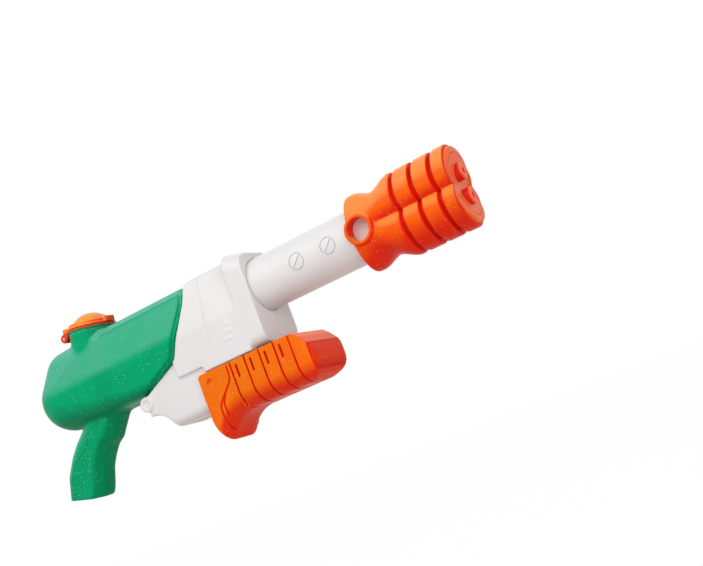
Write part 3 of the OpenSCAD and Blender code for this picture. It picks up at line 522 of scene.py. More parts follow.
def water_beads():
    """Small beads of water scattered in patches over a wet surface."""
    w, given, out = group_of(
        "water_beads", [("Vector", None), ("Scale", 400.0), ("Share", 0.35)], ["Height", "Mask"])
    cells = w.node("ShaderNodeTexVoronoi")
    patch = w.node("ShaderNodeTexNoise", Scale=30.0, Detail=1.0)
    w.link(given.outputs["Vector"], patch.inputs["Vector"])
    w.link(given.outputs["Vector"], cells.inputs["Vector"])
    w.link(given.outputs["Scale"], cells.inputs["Scale"])
    chance = w.node("ShaderNodeSeparateColor")
    w.link(cells.outputs["Color"], chance.inputs["Color"])
    size = w.calc("MULTIPLY_ADD", chance.outputs["Green"], 0.16, 0.06)
    wetter = w.calc("MULTIPLY_ADD", patch.outputs["Fac"], 4.0, -1.2, clamp=True)
    share = w.calc("MULTIPLY", given.outputs["Share"], wetter)
    wet = w.calc("LESS_THAN", chance.outputs["Red"], share)
    reach = w.calc("DIVIDE", cells.outputs["Distance"], size)
    dome = w.calc("SUBTRACT", 1.0, w.calc("POWER", reach, 2.0), clamp=True)
    height = w.calc("MULTIPLY", w.calc("SQRT", dome), wet)
    w.link(height, out.inputs["Height"])
    w.link(w.calc("GREATER_THAN", height, 0.05), out.inputs["Mask"])


def parting_line():
    """Thin line where the two halves of a moulding meet."""
    w, given, out = group_of("parting_line", [("Vector", None), ("Width", 0.0004)], ["Mask"])
    place = w.split(given.outputs["Vector"])
    off = w.calc("ABSOLUTE", place["Y"])
    near = w.calc("SUBTRACT", 1.0, w.calc("DIVIDE", off, given.outputs["Width"]), clamp=True)
    w.link(near, out.inputs["Mask"])


def ring_grooves():
    """Places of evenly spaced grooves along the barrel's direction, where shade is painted."""
    w, given, out = group_of(
        "ring_grooves",
        [("Vector", None), ("First", 0.46), ("Pitch", 0.02), ("Width", 0.004), ("Last", 0.5)], ["Mask"])
    place = w.split(given.outputs["Vector"])
    half = w.calc("MULTIPLY", given.outputs["Pitch"], 0.5)
    along = w.calc("ADD", w.calc("SUBTRACT", place["X"], given.outputs["First"]), half)
    phase = w.calc("FLOORED_MODULO", along, given.outputs["Pitch"])
    off = w.calc("ABSOLUTE", w.calc("SUBTRACT", phase, half))
    share = w.calc("DIVIDE", off, w.calc("MULTIPLY", given.outputs["Width"], 0.5))
    near = w.calc("MULTIPLY_ADD", share, -4.0, 4.6, clamp=True)
    started = w.calc("GREATER_THAN", along, 0.0)
    before = w.calc("SUBTRACT", w.calc("ADD", given.outputs["Last"], half), place["X"])
    mask = w.calc("MULTIPLY", near, w.calc("MULTIPLY", started, w.calc("GREATER_THAN", before, 0.0)))
    w.link(mask, out.inputs["Mask"])


def painted_light_facing():
    """Masks for painted light by how a surface faces, alike on both sides: Away, how far it turns down and
    forward, for painted shade; Up, how far it looks up, for painted sheen.
    """
    w, given, out = group_of("painted_light_facing", [("Vector", None)], ["Away", "Up"])
    place = w.split(given.outputs["Vector"])
    side = w.calc("MULTIPLY", w.calc("ABSOLUTE", place["Y"]), 0.45)
    lean = w.calc("MULTIPLY_ADD", place["X"], -0.55, side)
    lean = w.calc("MULTIPLY_ADD", place["Z"], 0.70, lean)
    w.link(w.calc("MULTIPLY_ADD", lean, -2.0, 0.75, clamp=True), out.inputs["Away"])
    up = w.calc("MULTIPLY_ADD", place["Z"], 2.8, -0.3, clamp=True)
    w.link(up, out.inputs["Up"])


def wired_material(name):
    """New material: its wiring and its shader."""
    material = bpy.data.materials.new(name)
    material.use_nodes = True
    w = Wiring(material.node_tree)
    return w, w.tree.nodes["Principled BSDF"]


def moulding(name, colour, deep, rough, glow=0.0, gloss=0.3, seam=True, wet=0.3, away=None, share=0.8,
             mist_and_sheen=None, sheen_base=0.18, grooves=None, sunk=False, shade=None):
    """Moulded plastic: tone, grain, parting line, painted shade in grooves and on turned-away sides,
    painted sheen on upward sides that also stands for fine water, and beads of water with painted glints.
    """
    w, shader = wired_material(name)
    coords = w.node("ShaderNodeTexCoord")
    vector = coords.outputs["Object"]
    turn = w.group("painted_light_facing", coords.outputs["Normal"])
    skin = w.group("moulded_skin", vector)
    beads = w.group("water_beads", vector, Share=wet)
    base = w.blend(skin.outputs["Tone"], colour, deep)
    if away:
        # Painted shade on the sides that turn away from the light
        base = w.blend(w.calc("MULTIPLY", turn.outputs["Away"], share), base, away)
    if mist_and_sheen:
        # Painted sheen on the upward sides, also standing for fine water there
        sheen_amount = w.calc("MULTIPLY_ADD", skin.outputs["Tone"], 0.14, sheen_base)
        base = w.blend(w.calc("MULTIPLY", turn.outputs["Up"], sheen_amount), base, mist_and_sheen)
    height = w.calc("MULTIPLY", skin.outputs["Grain"], 0.05)
    height = w.calc("ADD", beads.outputs["Height"], height)
    if grooves:
        first, pitch, width, last = grooves
        rings = w.group("ring_grooves", vector, First=first, Pitch=pitch, Width=width, Last=last)
        # Painted shade in the grooves
        base = w.blend(rings.outputs["Mask"], base, shade)
    if sunk:
        layer = w.node("ShaderNodeAttribute")
        layer.attribute_name = "sunk"
        # Painted shade in recessed places
        base = w.blend(layer.outputs["Fac"], base, shade)
    if seam:
        line = w.group("parting_line", vector).outputs["Mask"]
        base = w.blend(w.calc("MULTIPLY", line, 0.45), base, [0.45 * c for c in deep])
        height = w.calc("MULTIPLY_ADD", line, -0.6, height)
    # Painted glints: the beads lighten the colour
    bead_glint = [min(1.0, 0.7 * c + 0.4) for c in colour]
    base = w.blend(w.calc("MULTIPLY", beads.outputs["Mask"], 0.6), base, bead_glint)
    dull = w.calc("MULTIPLY_ADD", skin.outputs["Grain"], 0.14, rough - 0.07)
    dull = w.calc("MULTIPLY_ADD", beads.outputs["Mask"], -0.75 * rough, dull, clamp=True)
    w.coat(shader, base, dull, height, Strength=0.4, Distance=0.0005)
    shader.inputs["Specular IOR Level"].default_value = gloss
    if glow:
        shader.inputs["Subsurface Weight"].default_value = glow
        shader.inputs["Subsurface Radius"].default_value = (1.0, 0.12, 0.03)
        shader.inputs["Subsurface Scale"].default_value = 0.006


def plain_stock(name, colour, rough, metal=0.0, streak=1.0):
    """Inner mouldings, seals and steel with a fine grain."""
    w, shader = wired_material(name)
    place = w.node("ShaderNodeMapping")
    place.inputs["Scale"].default_value = (streak, 1, 1)
    w.link(w.node("ShaderNodeTexCoord").outputs["Object"], place.inputs["Vector"])
    skin = w.group("moulded_skin", place.outputs["Vector"], Patch=60.0)
    base = w.blend(skin.outputs["Tone"], colour, [0.82 * c for c in colour])
    dull = w.calc("MULTIPLY_ADD", skin.outputs["Grain"], 0.2, rough - 0.1, clamp=True)
    w.coat(shader, base, dull, skin.outputs["Grain"], Strength=0.25, Distance=0.0002)
    shader.inputs["Metallic"].default_value = metal


class SQUIRTER_OT_finishes(bpy.types.Operator):
    """Make the materials that the pieces share"""
    bl_idname = "squirter.finishes"
    bl_label = "Finishes"

    # Bands where red is painted as shade, on the jets' sides and in the head's grooves: first groove,
    # pitch, width and last groove
    jet_side_shade = (0.5155, 0.03, 0.0105, 0.5155)
    head_groove_shade = (0.46025, 0.0205, 0.0046, 0.5013)

    def execute(self, context):
        tones = context.scene.squirter_finish
        moulded_skin()
        water_beads()
        parting_line()
        ring_grooves()
        painted_light_facing()
        red = tones.shade
        # Painted shade on the sides that turn away from the light, and painted sheen on the upward sides
        moulding(
            "green_moulding", tones.green, tones.green_deep, 0.40, gloss=0.06, wet=0.6,
            away=tones.green_painted_shade, share=0.6, mist_and_sheen=tones.mist_and_sheen)
        moulding("white_moulding", tones.white, tones.white_deep, 0.42)
        # Painted shade: grey in the barrel's recessed marks
        moulding(
            "white_barrel", tones.white, tones.white_deep, 0.40, seam=False, sunk=True, shade=tones.mark)
        warm = {"glow": 0.5, "gloss": 0.2}
        # Painted light: lighter orange on the cap, with painted top light on its upward sides and painted
        # shade on the turned-away ones
        moulding("orange_cap_painted_light", tones.cap, tones.orange, 0.36, away=red, mist_and_sheen=tones.dew_and_top_light, **warm)
        # Painted shade: the ring is coloured deep orange and red because it lies under the cap
        moulding("orange_ring_painted_shade", tones.nozzle_deep, red, 0.36, away=red, **warm)
        # Painted sheen: coral face, with painted shade in the line along its rim
        moulding("orange_face_painted_light", tones.face, tones.nozzle, 0.40, seam=False, sunk=True, shade=red, **warm)
        # Painted sheen on the jets' tops and painted shade on their sides
        moulding(
            "orange_jets_painted_light", tones.face, tones.nozzle, 0.36, seam=False, shade=red,
            grooves=self.jet_side_shade, **warm)
        # Painted shade on the turned-away sides and in grooves and slots; painted top light on the nozzle's
        # upward sides
        dull = {"glow": 0.6, "gloss": 0.06, "wet": 0.5, "away": red, "shade": red}
        moulding("orange_pump", tones.orange, tones.orange_deep, 0.38, sunk=True, share=0.85, **dull)
        moulding(
            "orange_nozzle", tones.nozzle, tones.nozzle_deep, 0.34, seam=False, share=0.9, mist_and_sheen=tones.dew_and_top_light,
            sheen_base=0.26, grooves=self.head_groove_shade, **dull)
        plain_stock("natural_moulding", tones.natural, 0.45)
        plain_stock("black_rubber", tones.rubber, 0.70)
        plain_stock("bright_steel", tones.steel, 0.30, metal=1.0, streak=0.05)
        return {"FINISHED"}


class SQUIRTER_OT_tank(bpy.types.Operator):
    """Model the tank with its pistol grip"""
    bl_idname = "squirter.tank"
    bl_label = "Tank and grip"

    grip_rake = math.radians(33)
    base_tilt = math.radians(13)
    neck_tilt = math.radians(9)
    grip_stations = (
        (0.072, 0.036, 0.004), (0.052, 0.0325, -0.006), (0.043, 0.0315, -0.0105),
        (0.034, 0.0265, -0.0145), (0.020, 0.0240, -0.0190), (0.006, 0.0235, -0.0220),
        (-0.014, 0.0275, -0.0230), (-0.044, 0.030, -0.0145))
    strap_line = (
        (0.0205, 0.040), (0.022, 0.028), (0.0155, 0.019), (0.0015, 0.012),
        (-0.0095, 0.006), (-0.0145, -0.003), (-0.020, -0.018), (-0.024, -0.036))
    front_edge = ((0.122, 0.040), (0.174, 0.063), (0.200, 0.111), (0.203, 0.130))
    past_tip = 0.007
    shoulder_on = 0.005
    keel_x = 0.100
    keel_in = 0.002
    strap_r = 0.0008
    strap_out = 0.0002
    crest_ends = (0.086, 0.198)
    crest_r = 0.0015
    crest_out = 0.5
    crest_down = 0.6
    root = 0.020
    mouth_r = 0.0212
    mouth_deep = 0.070
    voxel = 0.00106
    tower_reach = 0.012
    tower_rim = 0.0035
    web_reach = 0.016
    web_x = 0.105
    grip_reach = 0.03
    grip_most = 0.35
    grip_skip = 0.3
    fillet_rise = 2

    def bulk(self, size, inset, back):
        """Tank drawn in all round by an inset and cut back from its front edge."""
        end = size.tip_x + self.past_tip
        ahead = (1, 0, 0)

        def fill(bm):
            ball(bm, (size.back_x, 0, size.belly_z), size.belly_r - inset)
            shoulder = (size.back_x + self.shoulder_on, 0, size.top_z - size.shoulder_r)
            ball(bm, shoulder, size.shoulder_r - inset)
            hoop(bm, (end, 0, size.belly_z), size.belly_r - inset, ahead)
            for side in (-1, 1):
                for out, down in ((0, 0), (size.chamfer_w, size.chamfer_h)):
                    crease = (side * (size.crease_y + out), size.top_z - size.crease_r - down)
                    hoop(bm, (end, *crease), size.crease_r - inset, ahead, 32)
                    ball(bm, (size.neck_x, *crease), size.crease_r - inset, 24)
                keel = (side * (size.belly_r - self.keel_in - size.keel_r), size.low_z + size.keel_r)
                hoop(bm, (end, *keel), size.keel_r - inset, ahead, 64)
                ball(bm, (self.keel_x, *keel), size.keel_r - inset, 48)

        bm = convex(fill)
        for low, high in zip(self.front_edge, self.front_edge[1:]):
            out = Vector((high[1] - low[1], 0, low[0] - high[0])).normalized()
            trim(bm, Vector((low[0], 0, low[1])) - back * out, out)
        return bm

    def grip_part(self, size, lower, upper):
        """Length of the grip between two stations."""
        up = Vector((math.sin(self.grip_rake), 0, math.cos(self.grip_rake)))
        fore = Vector((math.cos(self.grip_rake), 0, -math.sin(self.grip_rake)))

        def fill(bm):
            for along, front, back in (lower, upper):
                corners = (
                    (back + size.grip_back_r, size.grip_w / 2 - size.grip_back_r, size.grip_back_r),
                    (front - size.grip_facet, size.grip_w / 2 - size.grip_crease_r, size.grip_crease_r),
                    (front - size.grip_front_r, size.grip_front_r, size.grip_front_r))
                for reach, half, r in corners:
                    for side in (-1, 1):
                        ball(bm, along * up + reach * fore + Vector((0, side * half, 0)), r, 40)

        return convex(fill)

    def panel_line(self, size, side):
        """Thin line beside the back strap."""
        y = side * (size.grip_w / 2 + self.strap_out)
        return tube_along(curve_through([Vector((x, y, z)) for x, z in self.strap_line]), self.strap_r, 12)

    def execute(self, context):
        size = context.scene.squirter_tank
        parts = [self.grip_part(size, *pair) for pair in zip(self.grip_stations, self.grip_stations[1:])]
        floor = Vector((-math.sin(self.base_tilt), 0, -math.cos(self.base_tilt)))
        trim(parts[-1], (0, 0, size.base_z), floor)
        parts.append(self.bulk(size, 0.0, size.lip_l))
        parts.append(self.bulk(size, size.lip_in, 0.0))
        crest_y = size.crease_y + size.chamfer_w + self.crest_out * size.crease_r
        crest_z = size.top_z - size.chamfer_h - self.crest_down * size.crease_r
        for side in (-1, 1):
            ends = [Vector((x, side * crest_y, crest_z)) for x in self.crest_ends]
            parts.append(tube_along(ends, self.crest_r))
        axis = Vector((math.sin(self.neck_tilt), 0, math.cos(self.neck_tilt)))
        foot = Vector((size.neck_x, 0, size.top_z))
        parts.append(rod(foot - self.root * axis, foot + size.tower_h * axis, size.tower_r))
        tank = together("tank_shell", parts)
        soften(tank, self.voxel, rounds=6)

        def fillet(co):
            """High at the tower's foot and where the grip meets the tank."""
            up = (co - foot).dot(axis)
            out = abs(((co - foot) - up * axis).length - size.tower_r)
            tower = 1 - out / self.tower_reach if up < size.tower_h - self.tower_rim else 0
            web = 1 - abs(co.z - size.low_z) / self.web_reach if co.x < self.web_x else 0
            above = (co.z - size.base_z) / self.grip_reach - self.grip_skip
            grip = min(self.grip_most, above) if co.z < size.low_z else 0
            return max(self.fillet_rise * tower, self.fillet_rise * web, grip)

        ease_near(tank, fillet, rounds=70)
        carve(tank, rod(foot - self.mouth_deep * axis, foot + self.root * axis, self.mouth_r))
        for side in (-1, 1):
            carve(tank, self.panel_line(size, side))
        finish_piece(tank, "green_moulding", "frame", "green", "tank_right", "tank_left", sharp=50)
        return {"FINISHED"}


class SQUIRTER_OT_filler(bpy.types.Operator):
    """Model the flip cap and its ring"""
    bl_idname = "squirter.filler"
    bl_label = "Filler cap"

    voxel = 0.00045

    def execute(self, context):
        for name, node, body, finish in (
                ("cap_ring_moulding", "cap_ring", "frame", "orange_ring_painted_shade"),
                ("flip_cap", "fill_cap", "cap", "orange_cap_painted_light")):
            piece = merged_copy(name, node)
            soften(piece, self.voxel, rounds=5)
            finish_piece(piece, finish, body, "orange", node)
        return {"FINISHED"}


class SQUIRTER_OT_housing(bpy.types.Operator):
    """Model the two halves of the housing"""
    bl_idname = "squirter.housing"
    bl_label = "Housing"

    line_x = 0.224
    line_w = 0.0008
    line_deep = 0.0004
    line_low = 0.051
    line_top = 0.2
    beyond = 0.06
    voxel = 0.0009

    def panel_line(self, piece):
        """Cut a thin line round a half of the housing."""
        core = bpy.data.objects.new("core", piece.data.copy())
        bpy.context.scene.collection.objects.link(core)
        shrink = core.modifiers.new("shrink", "DISPLACE")
        shrink.mid_level = 0
        shrink.strength = -self.line_deep
        settle(core)
        half = self.line_w / 2
        slab = new_object("slab", block(
            (self.line_x - half, -self.beyond, self.line_low),
            (self.line_x + half, self.beyond, self.line_top)))
        carve(slab, taken(core))
        carve(piece, taken(slab))

    def execute(self, context):
        for side in ("right", "left"):
            piece = merged_copy("housing_shell_" + side, "housing_" + side)
            soften(piece, self.voxel, rounds=6)
            self.panel_line(piece)
            finish_piece(piece, "white_moulding", "frame", "white", "housing_" + side, sharp=50)
        return {"FINISHED"}


class SQUIRTER_OT_barrel(bpy.types.Operator):
    """Model the barrel with its two round marks"""
    bl_idname = "squirter.barrel"
    bl_label = "Barrel"

    marks = (0.343, 0.380)
    mark_r = 0.0085
    line = 0.0011
    line_deep = 0.0006
    stroke_half = 0.0068
    wall = 0.0024
    soft = 0.0006
    end_wall = 0.003
    end_bore = 0.0043
    pocket_skin = 0.0231
    pocket_wall = 0.002
    pocket_gap = 0.0001
    cut_out = 0.002
    cut_in = 0.012
    slant = math.radians(-45)
    marked = (0.3, 0.42)
    mark_edge = 0.001
    mark_floor = (0.0003, 0.0008)
    beyond = 0.05
    through = 0.1

    def tube(self, size):
        """Turned tube with a wall across its front end."""
        low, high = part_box("barrel_tube")
        r, span, inner = size.barrel_r, high.x - low.x, size.barrel_r - self.wall
        profile = [
            (inner, 0), (r - self.soft, 0), (r, self.soft), (r, span - self.soft), (r - self.soft, span),
            (self.end_bore, span), (self.end_bore, span - self.end_wall), (inner, span - self.end_wall),
            (inner, 0)]
        return new_object("barrel", lathe(profile, (low.x, 0, size.axis_z), (1, 0, 0), 192))

    def mark_cutter(self, size, x, core):
        """Thin ring with one slanting stroke, as deep as the core allows."""
        out, deep = -size.barrel_r - self.cut_out, -size.barrel_r + self.cut_in
        cutter = new_object("mark", rod((x, out, size.axis_z), (x, deep, size.axis_z), self.mark_r, 64))
        near, far = ((x, y, size.axis_z) for y in (-self.through, self.through))
        carve(cutter, rod(near, far, self.mark_r - self.line, 64))
        stroke = block((-self.stroke_half, out, -self.line / 2), (self.stroke_half, deep, self.line / 2))
        turn = Matrix.Translation((x, 0, size.axis_z)) @ Matrix.Rotation(self.slant, 4, "Y")
        bmesh.ops.transform(stroke, matrix=turn, verts=stroke.verts[:])
        carve(cutter, stroke, "UNION")
        carve(cutter, core.copy())
        return taken(cutter)

    def execute(self, context):
        size = context.scene.squirter_nozzle
        barrel = self.tube(size)
        pocket_r = size.window_r + size.sleeve + self.pocket_gap
        for side in (-1, 1):
            back, floor, skin, out = (
                (size.window_x, side * y, size.axis_z)
                for y in (size.window_floor - self.wall, size.window_floor, self.pocket_skin, self.beyond))
            carve(barrel, rod(back, skin, pocket_r + self.pocket_wall), "UNION")
            carve(barrel, rod(floor, out, pocket_r))
        start, end = ((x, 0, size.axis_z) for x in self.marked)
        core = rod(start, end, size.barrel_r - self.line_deep, 192)
        for x in self.marks:
            carve(barrel, self.mark_cutter(size, x, core))
        core.free()
        low, high = self.mark_floor
        # Vertices on the floor of the marks, where grey is painted as shade
        layer = barrel.data.attributes.new("sunk", "FLOAT", "POINT")
        for v in barrel.data.vertices:
            near = any(abs(v.co.x - x) < self.mark_r + self.mark_edge for x in self.marks)
            deep = size.barrel_r - math.hypot(v.co.y, v.co.z - size.axis_z)
            layer.data[v.index].value = 1.0 if near and low < deep < high else 0.0
        finish_piece(barrel, "white_barrel", "frame", "white", "barrel_tube", sharp=35)
        return {"FINISHED"}


def eased(t, start=0.0, span=1.0):
    """Soft rise from 0 to 1 over a span."""
    c = min(1.0, max(0.0, (t - start) / span))
    return c * c * (3 - 2 * c)


def between(a, b, t):
    return a + (b - a) * t


def quarter(steps):
    """Points round a quarter turn: shares of the radius past the edge and short of the full width."""
    angles = [math.pi / 2 * k / steps for k in range(steps + 1)]
    return [(1 - math.cos(a), 1 - math.sin(a)) for a in angles]


def lobed(angle, half_h, half_w, notch, spread=16, power=1.3):
    """Radius of the twin-lobed outline, with a valley on each side."""
    round_r = half_h * half_w / math.hypot(half_h * math.cos(angle), half_w * math.sin(angle))
    lean = math.degrees(math.asin(min(1.0, abs(math.sin(angle))))) / spread
    return round_r - notch * math.exp(-lean ** power)


def skin_along(stations, axis_z, fine):
    """Closed skin through stations of (reach, outline): both give a value at an angle."""
    bm = bmesh.new()
    hoop(bm, (0, 0, axis_z), 0.03, (1, 0, 0), fine)
    verts, edges, first = bm.verts[:], bm.edges[:], bm.edges[:]
    for n, (reach, outline) in enumerate(stations):
        if n:
            verts, edges = grown_ring(bm, edges)
        for v in verts:
            angle = math.atan2(v.co.z - axis_z, v.co.y)
            r = outline(angle)
            v.co = (reach(angle, r), r * math.cos(angle), axis_z + r * math.sin(angle))
    return closed_ends(bm, first, edges)


def ring_at(x, outline):
    """Station at one place along the axis."""
    return (lambda angle, r: x), outline


class SQUIRTER_OT_collar(bpy.types.Operator):
    """Model the fixed collar with its two round windows"""
    bl_idname = "squirter.collar"
    bl_label = "Nozzle collar"

    waist_in = 0.0085
    rear_in = 0.0022
    side_in = 0.0012
    bore_gap = 0.00015
    bore_end = 0.430
    edge = 0.0026
    lip = 0.0004
    rim_w = 0.0034
    rim_foot = 0.020
    rim_soft = 0.0012
    rim_deep = 0.029
    rim_bend = 0.0004
    floor_gap = 0.0002
    to_waist = (0.12, 0.38)
    from_waist = (0.5, 0.44)
    to_valley = (0.25, 0.55)
    bend = 5
    rings = 40
    voxel = 0.0007
    beyond = 0.05

    def outline(self, size, u, grow=0.0):
        """Lobed section at a share of the collar's length."""
        waist = size.half_h - self.waist_in
        if u < self.from_waist[0]:
            half_h = between(size.half_h - self.rear_in, waist, eased(u, *self.to_waist))
        else:
            half_h = between(waist, size.half_h, eased(u, *self.from_waist))
        half_w = between(size.window_y - self.side_in, size.half_w, eased(u))
        notch = size.valley * eased(u, *self.to_valley)
        return lambda angle: lobed(angle, half_h, half_w, notch) + grow

    def stations(self, size):
        """Rings from the bore round the outside to the floor of the first groove."""
        bore = size.barrel_r + self.bore_gap
        span = size.collar_x1 - size.collar_x0
        rear = [(self.edge * past / span, -self.edge * short) for past, short in quarter(self.bend)]
        ends = self.edge / span, 1 - self.edge / span
        middle = [(between(*ends, k / self.rings), 0.0) for k in range(1, self.rings)]
        front = [(1 - u, grow) for u, grow in reversed(rear)]
        floor = self.outline(size, 1.0, -size.groove_deep)
        return [
            ring_at(self.bore_end, lambda angle: bore), ring_at(size.collar_x0, lambda angle: bore),
            *(ring_at(size.collar_x0 + u * span, self.outline(size, u, grow))
              for u, grow in rear + middle + front),
            ring_at(size.collar_x1, floor), ring_at(size.head_x0 - self.lip, floor)]

    def execute(self, context):
        size = context.scene.squirter_nozzle
        collar = new_object("collar_moulding", skin_along(self.stations(size), size.axis_z, size.fine))
        rim = size.window_r + self.rim_w
        tall = size.window_y - self.rim_foot
        profile = [
            (0, 0), (rim, 0), (rim, tall - self.rim_soft), (rim - self.rim_bend, tall - self.rim_bend),
            (rim - self.rim_soft, tall), (0, tall)]
        for side in (-1, 1):
            place = (size.window_x, side * self.rim_foot, size.axis_z)
            carve(collar, lathe(profile, place, (0, side, 0)), "UNION")
        soften(collar, self.voxel, rounds=6)
        for side in (-1, 1):
            near, floor, rim_in, far = (
                (size.window_x, side * y, size.axis_z)
                for y in (0, size.window_floor + self.floor_gap, self.rim_deep, self.beyond))
            carve(collar, rod(floor, rim_in, size.window_r + size.sleeve), "UNION")
            carve(collar, rod(near, far, size.window_r))
        finish_piece(collar, "orange_nozzle", "frame", "orange", "nozzle_collar", sharp=50)
        return {"FINISHED"}


class SQUIRTER_OT_head(bpy.types.Operator):
    """Model the banded head, its saddle-shaped face and the two jets"""
    bl_idname = "squirter.head"
    bl_label = "Spinning head"

    round_r = 0.0016
    saddle_r = 0.050
    rim_line = 0.876
    line_half = 0.018
    line_deep = 0.0008
    lip = 0.003
    lip_gap = 0.0003
    seat = 0.006
    face_r = 0.0022
    face_in = 0.002
    saddle_out = 0.006
    saddle_soft = 0.0045
    saddle_most = 0.04
    band_count = 3
    face_rings = 24
    line_ring = 3
    line_near = 0.006
    jet_soft = 0.0014
    jet_bore = 0.0015
    jet_mouth = 0.003
    mouth_soft = 0.0004
    mouth_deep = 0.002

    def outline(self, size, grow):
        return lambda angle: lobed(angle, size.half_h, size.half_w, size.valley) + grow

    def bands(self, size):
        """Stations of the three bands and the lip round the face."""
        pitch = size.band_w + size.groove_w
        stations = []
        for band in range(self.band_count):
            x0 = size.head_x0 + band * pitch
            x1 = min(x0 + size.band_w, size.head_x1)
            stations.append(ring_at(x0, self.outline(size, -size.groove_deep)))
            bend = [(self.round_r * past, -self.round_r * short) for past, short in quarter(6)]
            stations += [ring_at(x0 + step, self.outline(size, grow)) for step, grow in bend]
            stations += [ring_at(x1 - step, self.outline(size, grow)) for step, grow in reversed(bend)]
            if band < self.band_count - 1:
                stations.append(ring_at(x1, self.outline(size, -size.groove_deep)))
        stations.append(ring_at(size.head_x1, self.outline(size, -self.lip)))
        stations.append(ring_at(size.head_x1 - self.seat, self.outline(size, -self.lip)))
        return stations

    def front(self, size, angle, r):
        """Reach of the saddle-shaped face."""
        lift = r * math.sin(angle)
        dish = self.saddle_r - math.sqrt(self.saddle_r ** 2 - min(abs(lift), self.saddle_most) ** 2)
        return size.head_x1 - self.face_in + self.saddle_out * (1 - math.exp(-dish / self.saddle_soft))

    def face(self, size):
        """Stations of the face, drawn in to its middle past the line along its rim."""
        edge = self.lip + self.lip_gap
        stations = [ring_at(size.head_x1 - self.seat, self.outline(size, -edge))]

        def add(drop, outline):
            stations.append((lambda angle, r: self.front(size, angle, r) - drop, outline))

        for inset, drop in quarter(4):
            add(self.face_r * drop, self.outline(size, -edge - self.face_r * inset))
        rings = [k for k in range(1, self.face_rings) if k != self.line_ring]
        shares = [1 - k / self.face_rings for k in rings]
        at = self.line_ring - 1
        shares[at:at] = [self.rim_line + self.line_half, self.rim_line, self.rim_line - self.line_half]
        full = self.outline(size, -edge - self.face_r)
        for share in shares:
            drop = self.line_deep if share == self.rim_line else 0.0
            add(drop, lambda angle, share=share: share * full(angle))
        return stations

    def mark_rim(self, size, face):
        """Mark the vertices of the line along the rim, where red is painted as shade."""
        outline = self.outline(size, -self.lip - self.lip_gap - self.face_r)
        layer = face.data.attributes.new("sunk", "FLOAT", "POINT")
        for v in face.data.vertices:
            up = v.co.z - size.axis_z
            share = math.hypot(v.co.y, up) / outline(math.atan2(up, v.co.y))
            layer.data[v.index].value = 1.0 if abs(share - self.rim_line) < self.line_near else 0.0

    def execute(self, context):
        size = context.scene.squirter_nozzle
        shell = new_object("head_bands", skin_along(self.bands(size), size.axis_z, size.fine))
        finish_piece(shell, "orange_nozzle", "head", "orange", "head_shell", sharp=50)
        face = new_object("head_front", skin_along(self.face(size), size.axis_z, size.fine))
        self.mark_rim(size, face)
        finish_piece(face, "orange_face_painted_light", "head", "orange", "head_face", sharp=50)
        low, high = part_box("jet_tips")
        tall = high.x - low.x
        profile = [(self.jet_bore, 0), (size.jet_r, 0)]
        bend = [(self.jet_soft * past, self.jet_soft * short) for past, short in quarter(4)]
        profile += [(size.jet_r - past, tall - short) for past, short in bend]
        profile += [
            (self.jet_mouth + self.mouth_soft, tall), (self.jet_mouth, tall - self.mouth_soft),
            (self.jet_mouth, tall - self.mouth_deep), (self.jet_bore, tall - self.mouth_deep),
            (self.jet_bore, 0)]
        jets = together("jet_bosses", [
            lathe(profile, (low.x, 0, size.axis_z + side * size.jet_offset), (1, 0, 0), 96)
            for side in (-1, 1)])
        finish_piece(jets, "orange_jets_painted_light", "head", "orange", "jet_tips", sharp=50)
        return {"FINISHED"}


